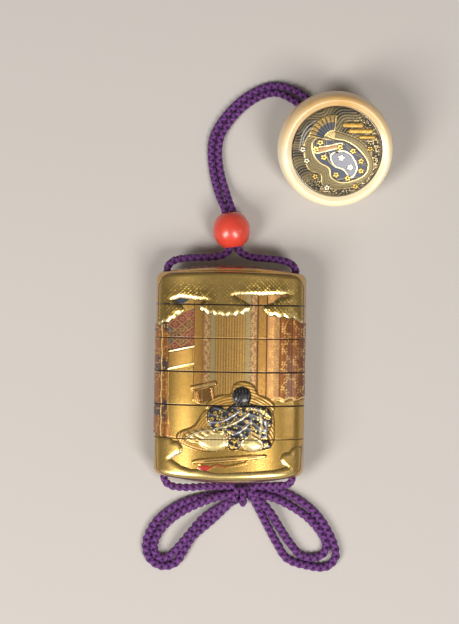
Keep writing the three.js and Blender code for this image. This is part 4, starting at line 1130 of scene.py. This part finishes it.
# %% The routes of the cord, as the solids have them
CORD_DIAMETER = 2.7
ROUTES = {
    "cord_left": [
        (39.4, 88.5, 6.0), (39.3, 89.3, 4.1), (38.9, 90.0, 2.3), (37.9, 91.6, 1.4), (30.5, 104.2, 1.4),
        (23.9, 109.5, 1.4), (15.7, 111.4, 1.4), (6.7, 108.4, 1.4), (-2.2, 100.8, 1.4),
        (-8.1, 90.7, 1.4), (-8.0, 79.0, 1.4), (-5.2, 68.2, 3.0), (-3.2, 63.6, 6.3), (-2.7, 61.5, 7.1),
        (-0.8, 48.3, 7.1), (-1.9, 46.3, 7.4), (-4.8, 44.9, 7.8), (-17.4, 43.9, 9.4),
        (-22.0, 42.8, 10.6), (-24.2, 40.6, 11.2), (-24.4, 38.4, 11.25), (-24.4, -38.4, 11.25),
        (-24.2, -40.4, 11.0), (-22.4, -42.6, 10.0), (-17.6, -43.7, 8.0), (-8.4, -43.5, 5.6),
        (2.2, -43.3, 4.6),
    ],
    "cord_right": [
        (36.9, 86.9, 6.0), (36.8, 87.6, 4.1), (36.4, 88.3, 2.3), (35.4, 89.9, 1.4), (28.1, 101.5, 1.4),
        (22.4, 106.1, 1.4), (15.8, 108.5, 1.4), (8.1, 106.0, 1.4), (-0.0, 99.0, 1.4),
        (-5.2, 90.1, 1.4), (-5.1, 79.4, 1.4), (-2.2, 69.0, 3.0), (-0.5, 64.0, 6.3), (0.3, 61.9, 7.1),
        (2.2, 48.7, 7.1), (3.4, 46.6, 7.4), (6.6, 45.0, 7.8), (17.7, 43.8, 9.4),
        (22.1, 42.6, 10.6), (24.2, 40.6, 11.2), (24.4, 38.4, 11.25), (24.4, -38.4, 11.25),
        (24.2, -40.2, 11.0), (22.8, -41.8, 10.0), (18.4, -42.4, 8.2), (9.4, -43.4, 4.8),
    ],
    "bow_left_outer": [
        (2.2, -46.3, 1.6), (-6.1, -47.3, 1.4), (-19.2, -51.2, 1.4), (-27.9, -58.2, 1.4),
        (-31.3, -66.4, 1.4), (-30.0, -71.8, 1.4), (-25.4, -74.9, 1.4), (-20.1, -73.8, 1.4),
        (-13.5, -63.7, 1.4), (-6.5, -57.4, 1.4), (1.6, -49.4, 1.8),
    ],
    "bow_left_inner": [
        (2.2, -46.4, 4.3), (-5.8, -48.2, 4.2), (-18.3, -54.3, 1.4), (-25.4, -60.6, 1.4),
        (-28.2, -66.6, 1.4), (-27.4, -70.4, 1.4), (-24.6, -71.9, 1.4), (-21.6, -70.4, 2.0),
        (-15.2, -62.8, 4.2), (-8.8, -55.6, 2.4), (1.6, -48.8, 4.3),
    ],
    "bow_right_outer": [
        (9.2, -45.4, 1.6), (20.4, -45.4, 1.4), (33.6, -53.2, 1.4), (41.2, -65.2, 1.4),
        (41.9, -70.6, 1.4), (38.4, -74.3, 1.4), (31.0, -73.9, 1.4), (23.4, -71.4, 1.4),
        (19.6, -66.0, 1.4), (13.0, -54.0, 1.4), (9.8, -48.0, 1.8),
    ],
    "bow_right_inner": [
        (9.4, -46.2, 4.4), (18.6, -48.2, 2.6), (31.9, -56.2, 1.4), (38.2, -65.2, 1.4),
        (37.2, -69.2, 1.4), (33.6, -70.8, 1.4), (28.6, -69.9, 1.4), (23.8, -64.6, 1.4),
        (14.6, -51.0, 3.8), (9.6, -47.2, 4.3),
    ],
}
STRAIGHT = 20                   # a stretch this long is straight, as in the channels of the case


def smooth_route(points, step):
    """Even points, step apart, on a centripetal spline through the route."""
    route = [Vector(points[0])]
    for a, b in zip(map(Vector, points), map(Vector, points[1:])):
        if (b - a).length > STRAIGHT:
            along = (b - a).normalized() * STRAIGHT / 8
            route += [a + along, b - along]
        route.append(b)
    route = [2 * route[0] - route[1], *route, 2 * route[-1] - route[-2]]
    fine = []
    for p0, p1, p2, p3 in zip(route, route[1:], route[2:], route[3:]):
        t1 = (p1 - p0).length ** 0.5
        t2 = t1 + (p2 - p1).length ** 0.5
        t3 = t2 + (p3 - p2).length ** 0.5
        for t in np.linspace(t1, t2, 24, endpoint=False):
            a1 = p0.lerp(p1, t / t1)
            a2 = p1.lerp(p2, (t - t1) / (t2 - t1))
            a3 = p2.lerp(p3, (t - t2) / (t3 - t2))
            fine.append(a1.lerp(a2, t / t2).lerp(a2.lerp(a3, (t - t1) / (t3 - t1)), (t - t1) / (t2 - t1)))
    fine = np.array([*fine, route[-2]])
    reach = np.concatenate([[0], np.cumsum(np.linalg.norm(np.diff(fine, axis=0), axis=1))])
    even = np.linspace(0, reach[-1], max(2, round(reach[-1] / step)) + 1)
    return np.column_stack([np.interp(even, reach, fine[:, i]) for i in range(3)])


def frames_along(line):
    """Two unit sideways directions at each point, carried along without twist."""
    tangents = np.gradient(line, axis=0)
    tangents /= np.linalg.norm(tangents, axis=1)[:, None]
    side = np.cross(tangents[0], (0.3, 0.2, 1.0))
    sides = []
    for tangent in tangents:
        side = side - tangent * side.dot(tangent)
        side /= np.linalg.norm(side)
        sides.append(side)
    sides = np.array(sides)
    return sides, np.cross(tangents, sides)


# %% A braid along a route
BRAID_PITCH = 5.4               # one full turn of a strand
STRAND_RADIUS = 0.84
BRAID_CENTRE = 0.58             # from the cord's middle to a strand's
BRAID_WAVE = 0.16               # how far a strand moves out and in as it crosses
STEPS_PER_PITCH = 16
BOW_SWELL = 1.12                # the braid is looser, so thicker, in the bow


def braid_mesh(name, lines, swell=1.0):
    """The four strands of a round braid along each line of even points, as one mesh.

    Its attribute tells how far each point stands out from the middle of the cord.
    """
    curve = bpy.data.curves.new(name, "CURVE")
    curve.dimensions = "3D"
    curve.bevel_depth = STRAND_RADIUS * swell * MM
    curve.bevel_resolution = 2
    curve.use_fill_caps = True
    for line in lines:
        sides, ups = frames_along(line)
        reach = np.concatenate([[0], np.cumsum(np.linalg.norm(np.diff(line, axis=0), axis=1))])
        wave = 2 * math.pi * reach / BRAID_PITCH
        for way in (1, -1):
            for start in (0, math.pi):
                angle = way * wave + start
                radius = swell * (BRAID_CENTRE + way * BRAID_WAVE * np.cos(2 * wave))
                strand = line + sides * (radius * np.cos(angle))[:, None] + ups * (radius * np.sin(angle))[:, None]
                spline = curve.splines.new("POLY")
                spline.points.add(len(strand) - 1)
                spline.points.foreach_set("co", np.column_stack([strand * MM, np.ones(len(strand))]).ravel())
    holder = bpy.data.objects.new(name, curve)
    bpy.context.scene.collection.objects.link(holder)
    mesh = bpy.data.meshes.new_from_object(holder.evaluated_get(bpy.context.evaluated_depsgraph_get()))
    bpy.data.objects.remove(holder)
    for face in mesh.polygons:
        face.use_smooth = True
    middles = np.vstack(lines) * MM
    finder = KDTree(len(middles))
    for i, middle in enumerate(middles):
        finder.insert(middle, i)
    finder.balance()
    reach = np.array([finder.find(vertex.co)[2] for vertex in mesh.vertices]) / (swell * MM)
    lowest, highest = BRAID_CENTRE, BRAID_CENTRE + STRAND_RADIUS + BRAID_WAVE
    mesh.attributes.new("stand", "FLOAT", "POINT").data.foreach_set("value", (reach - lowest) / (highest - lowest))
    return mesh


silk, tree, shader = new_material("purple silk braid")
place = add_node(tree, "ShaderNodeTexCoord")
fibre = add_node(tree, "ShaderNodeTexNoise", {"Vector": place.outputs["Object"], "Scale": 1 / (0.3 * MM),
                                              "Detail": 3.0})
stand = add_node(tree, "ShaderNodeAttribute", {"attribute_name": "stand"})
# Painted shade: the silk is darker in the grooves between strands and paler on their crowns.
groove_shade = add_node(tree, "ShaderNodeMapRange", {0: stand.outputs["Fac"], 1: 0.5, 2: 1.0, 3: -0.15, 4: 0.8})
share = add_node(tree, "ShaderNodeMath", {"operation": "MULTIPLY_ADD", 0: fibre.outputs["Fac"], 1: 0.4,
                                          2: groove_shade.outputs[0]})
tone = add_node(tree, "ShaderNodeMix", {"data_type": "RGBA", 0: share.outputs[0],
                                        6: linear("#220a30"), 7: linear("#6e3682")})
bump = add_node(tree, "ShaderNodeBump", {"Height": fibre.outputs["Fac"], "Strength": 0.4, "Distance": 0.08 * MM})
tree.links.new(tone.outputs[2], shader.inputs["Base Color"])
tree.links.new(bump.outputs[0], shader.inputs["Normal"])
shader.inputs["Roughness"].default_value = 0.55
shader.inputs["Specular IOR Level"].default_value = 0.3
shader.inputs["Sheen Weight"].default_value = 0.1

for name, points in ROUTES.items():
    line = smooth_route(points, BRAID_PITCH / STEPS_PER_PITCH)
    swell = BOW_SWELL if name.startswith("bow") else 1.0
    piece = add_piece("silk_" + name, braid_mesh(name, [line], swell), silk, "silk_cord", name)
    length = float(np.linalg.norm(np.diff(line, axis=0), axis=1).sum())
    print(name, round(length, 1), "mm")

# %% The bow's knot: three turns of the cord side by side
KNOT_TURNS = [                  # middle across the bow, middle and half length along the case
    (2.9, -46.3, 2.8),
    (5.9, -46.7, 3.2),
    (8.8, -45.5, 2.0),
]
KNOT_MIDDLE_HEIGHT = 3.1
TURN_HALF_HIGH = 1.7
TURN_LEAN = 0.22                # the turns slope a little across the bow

lines = []
for across, middle, half_long in KNOT_TURNS:
    turn = []
    for a in np.linspace(0, 2 * math.pi, 17) - 0.5 * math.pi:
        c, s = math.cos(a), math.sin(a)
        y = half_long * math.copysign(abs(c) ** 0.6, c)
        z = TURN_HALF_HIGH * math.copysign(abs(s) ** 0.6, s)
        lean = TURN_LEAN * (5.9 - across) / 2.6
        turn.append((across + lean * y * (1 if s > 0 else -1) * abs(s), middle + y, KNOT_MIDDLE_HEIGHT + z))
    lines.append(smooth_route(turn, BRAID_PITCH / STEPS_PER_PITCH))
add_piece("silk_bow_knot", braid_mesh("bow_knot", lines), silk, "silk_cord", "bow_knot")

# %% The knot inside the toggle: a ball of cord
KNOT_RADIUS = 3.4
lines = []
for i in range(3):
    turn = []
    for a in np.linspace(0, 2 * math.pi, 13):
        around = Vector((math.cos(a), math.sin(a), 0)) * (KNOT_RADIUS - CORD_DIAMETER / 2)
        around.rotate(Matrix.Rotation(0.5 * math.pi, 3, "X"))
        around.rotate(Matrix.Rotation(i * math.pi / 3, 3, "Z"))
        turn.append((around.x, around.y, around.z * 0.7))
    lines.append(smooth_route(turn, BRAID_PITCH / STEPS_PER_PITCH))
mesh = braid_mesh("toggle_knot", lines)
mesh.transform(TOGGLE_PLACE @ Matrix.Translation((0, 0, (BOWL_FLOOR + KNOT_RADIUS * 0.8 + 0.5) * MM)))
add_piece("silk_toggle_knot", mesh, silk, "silk_cord", "netsuke_knot")
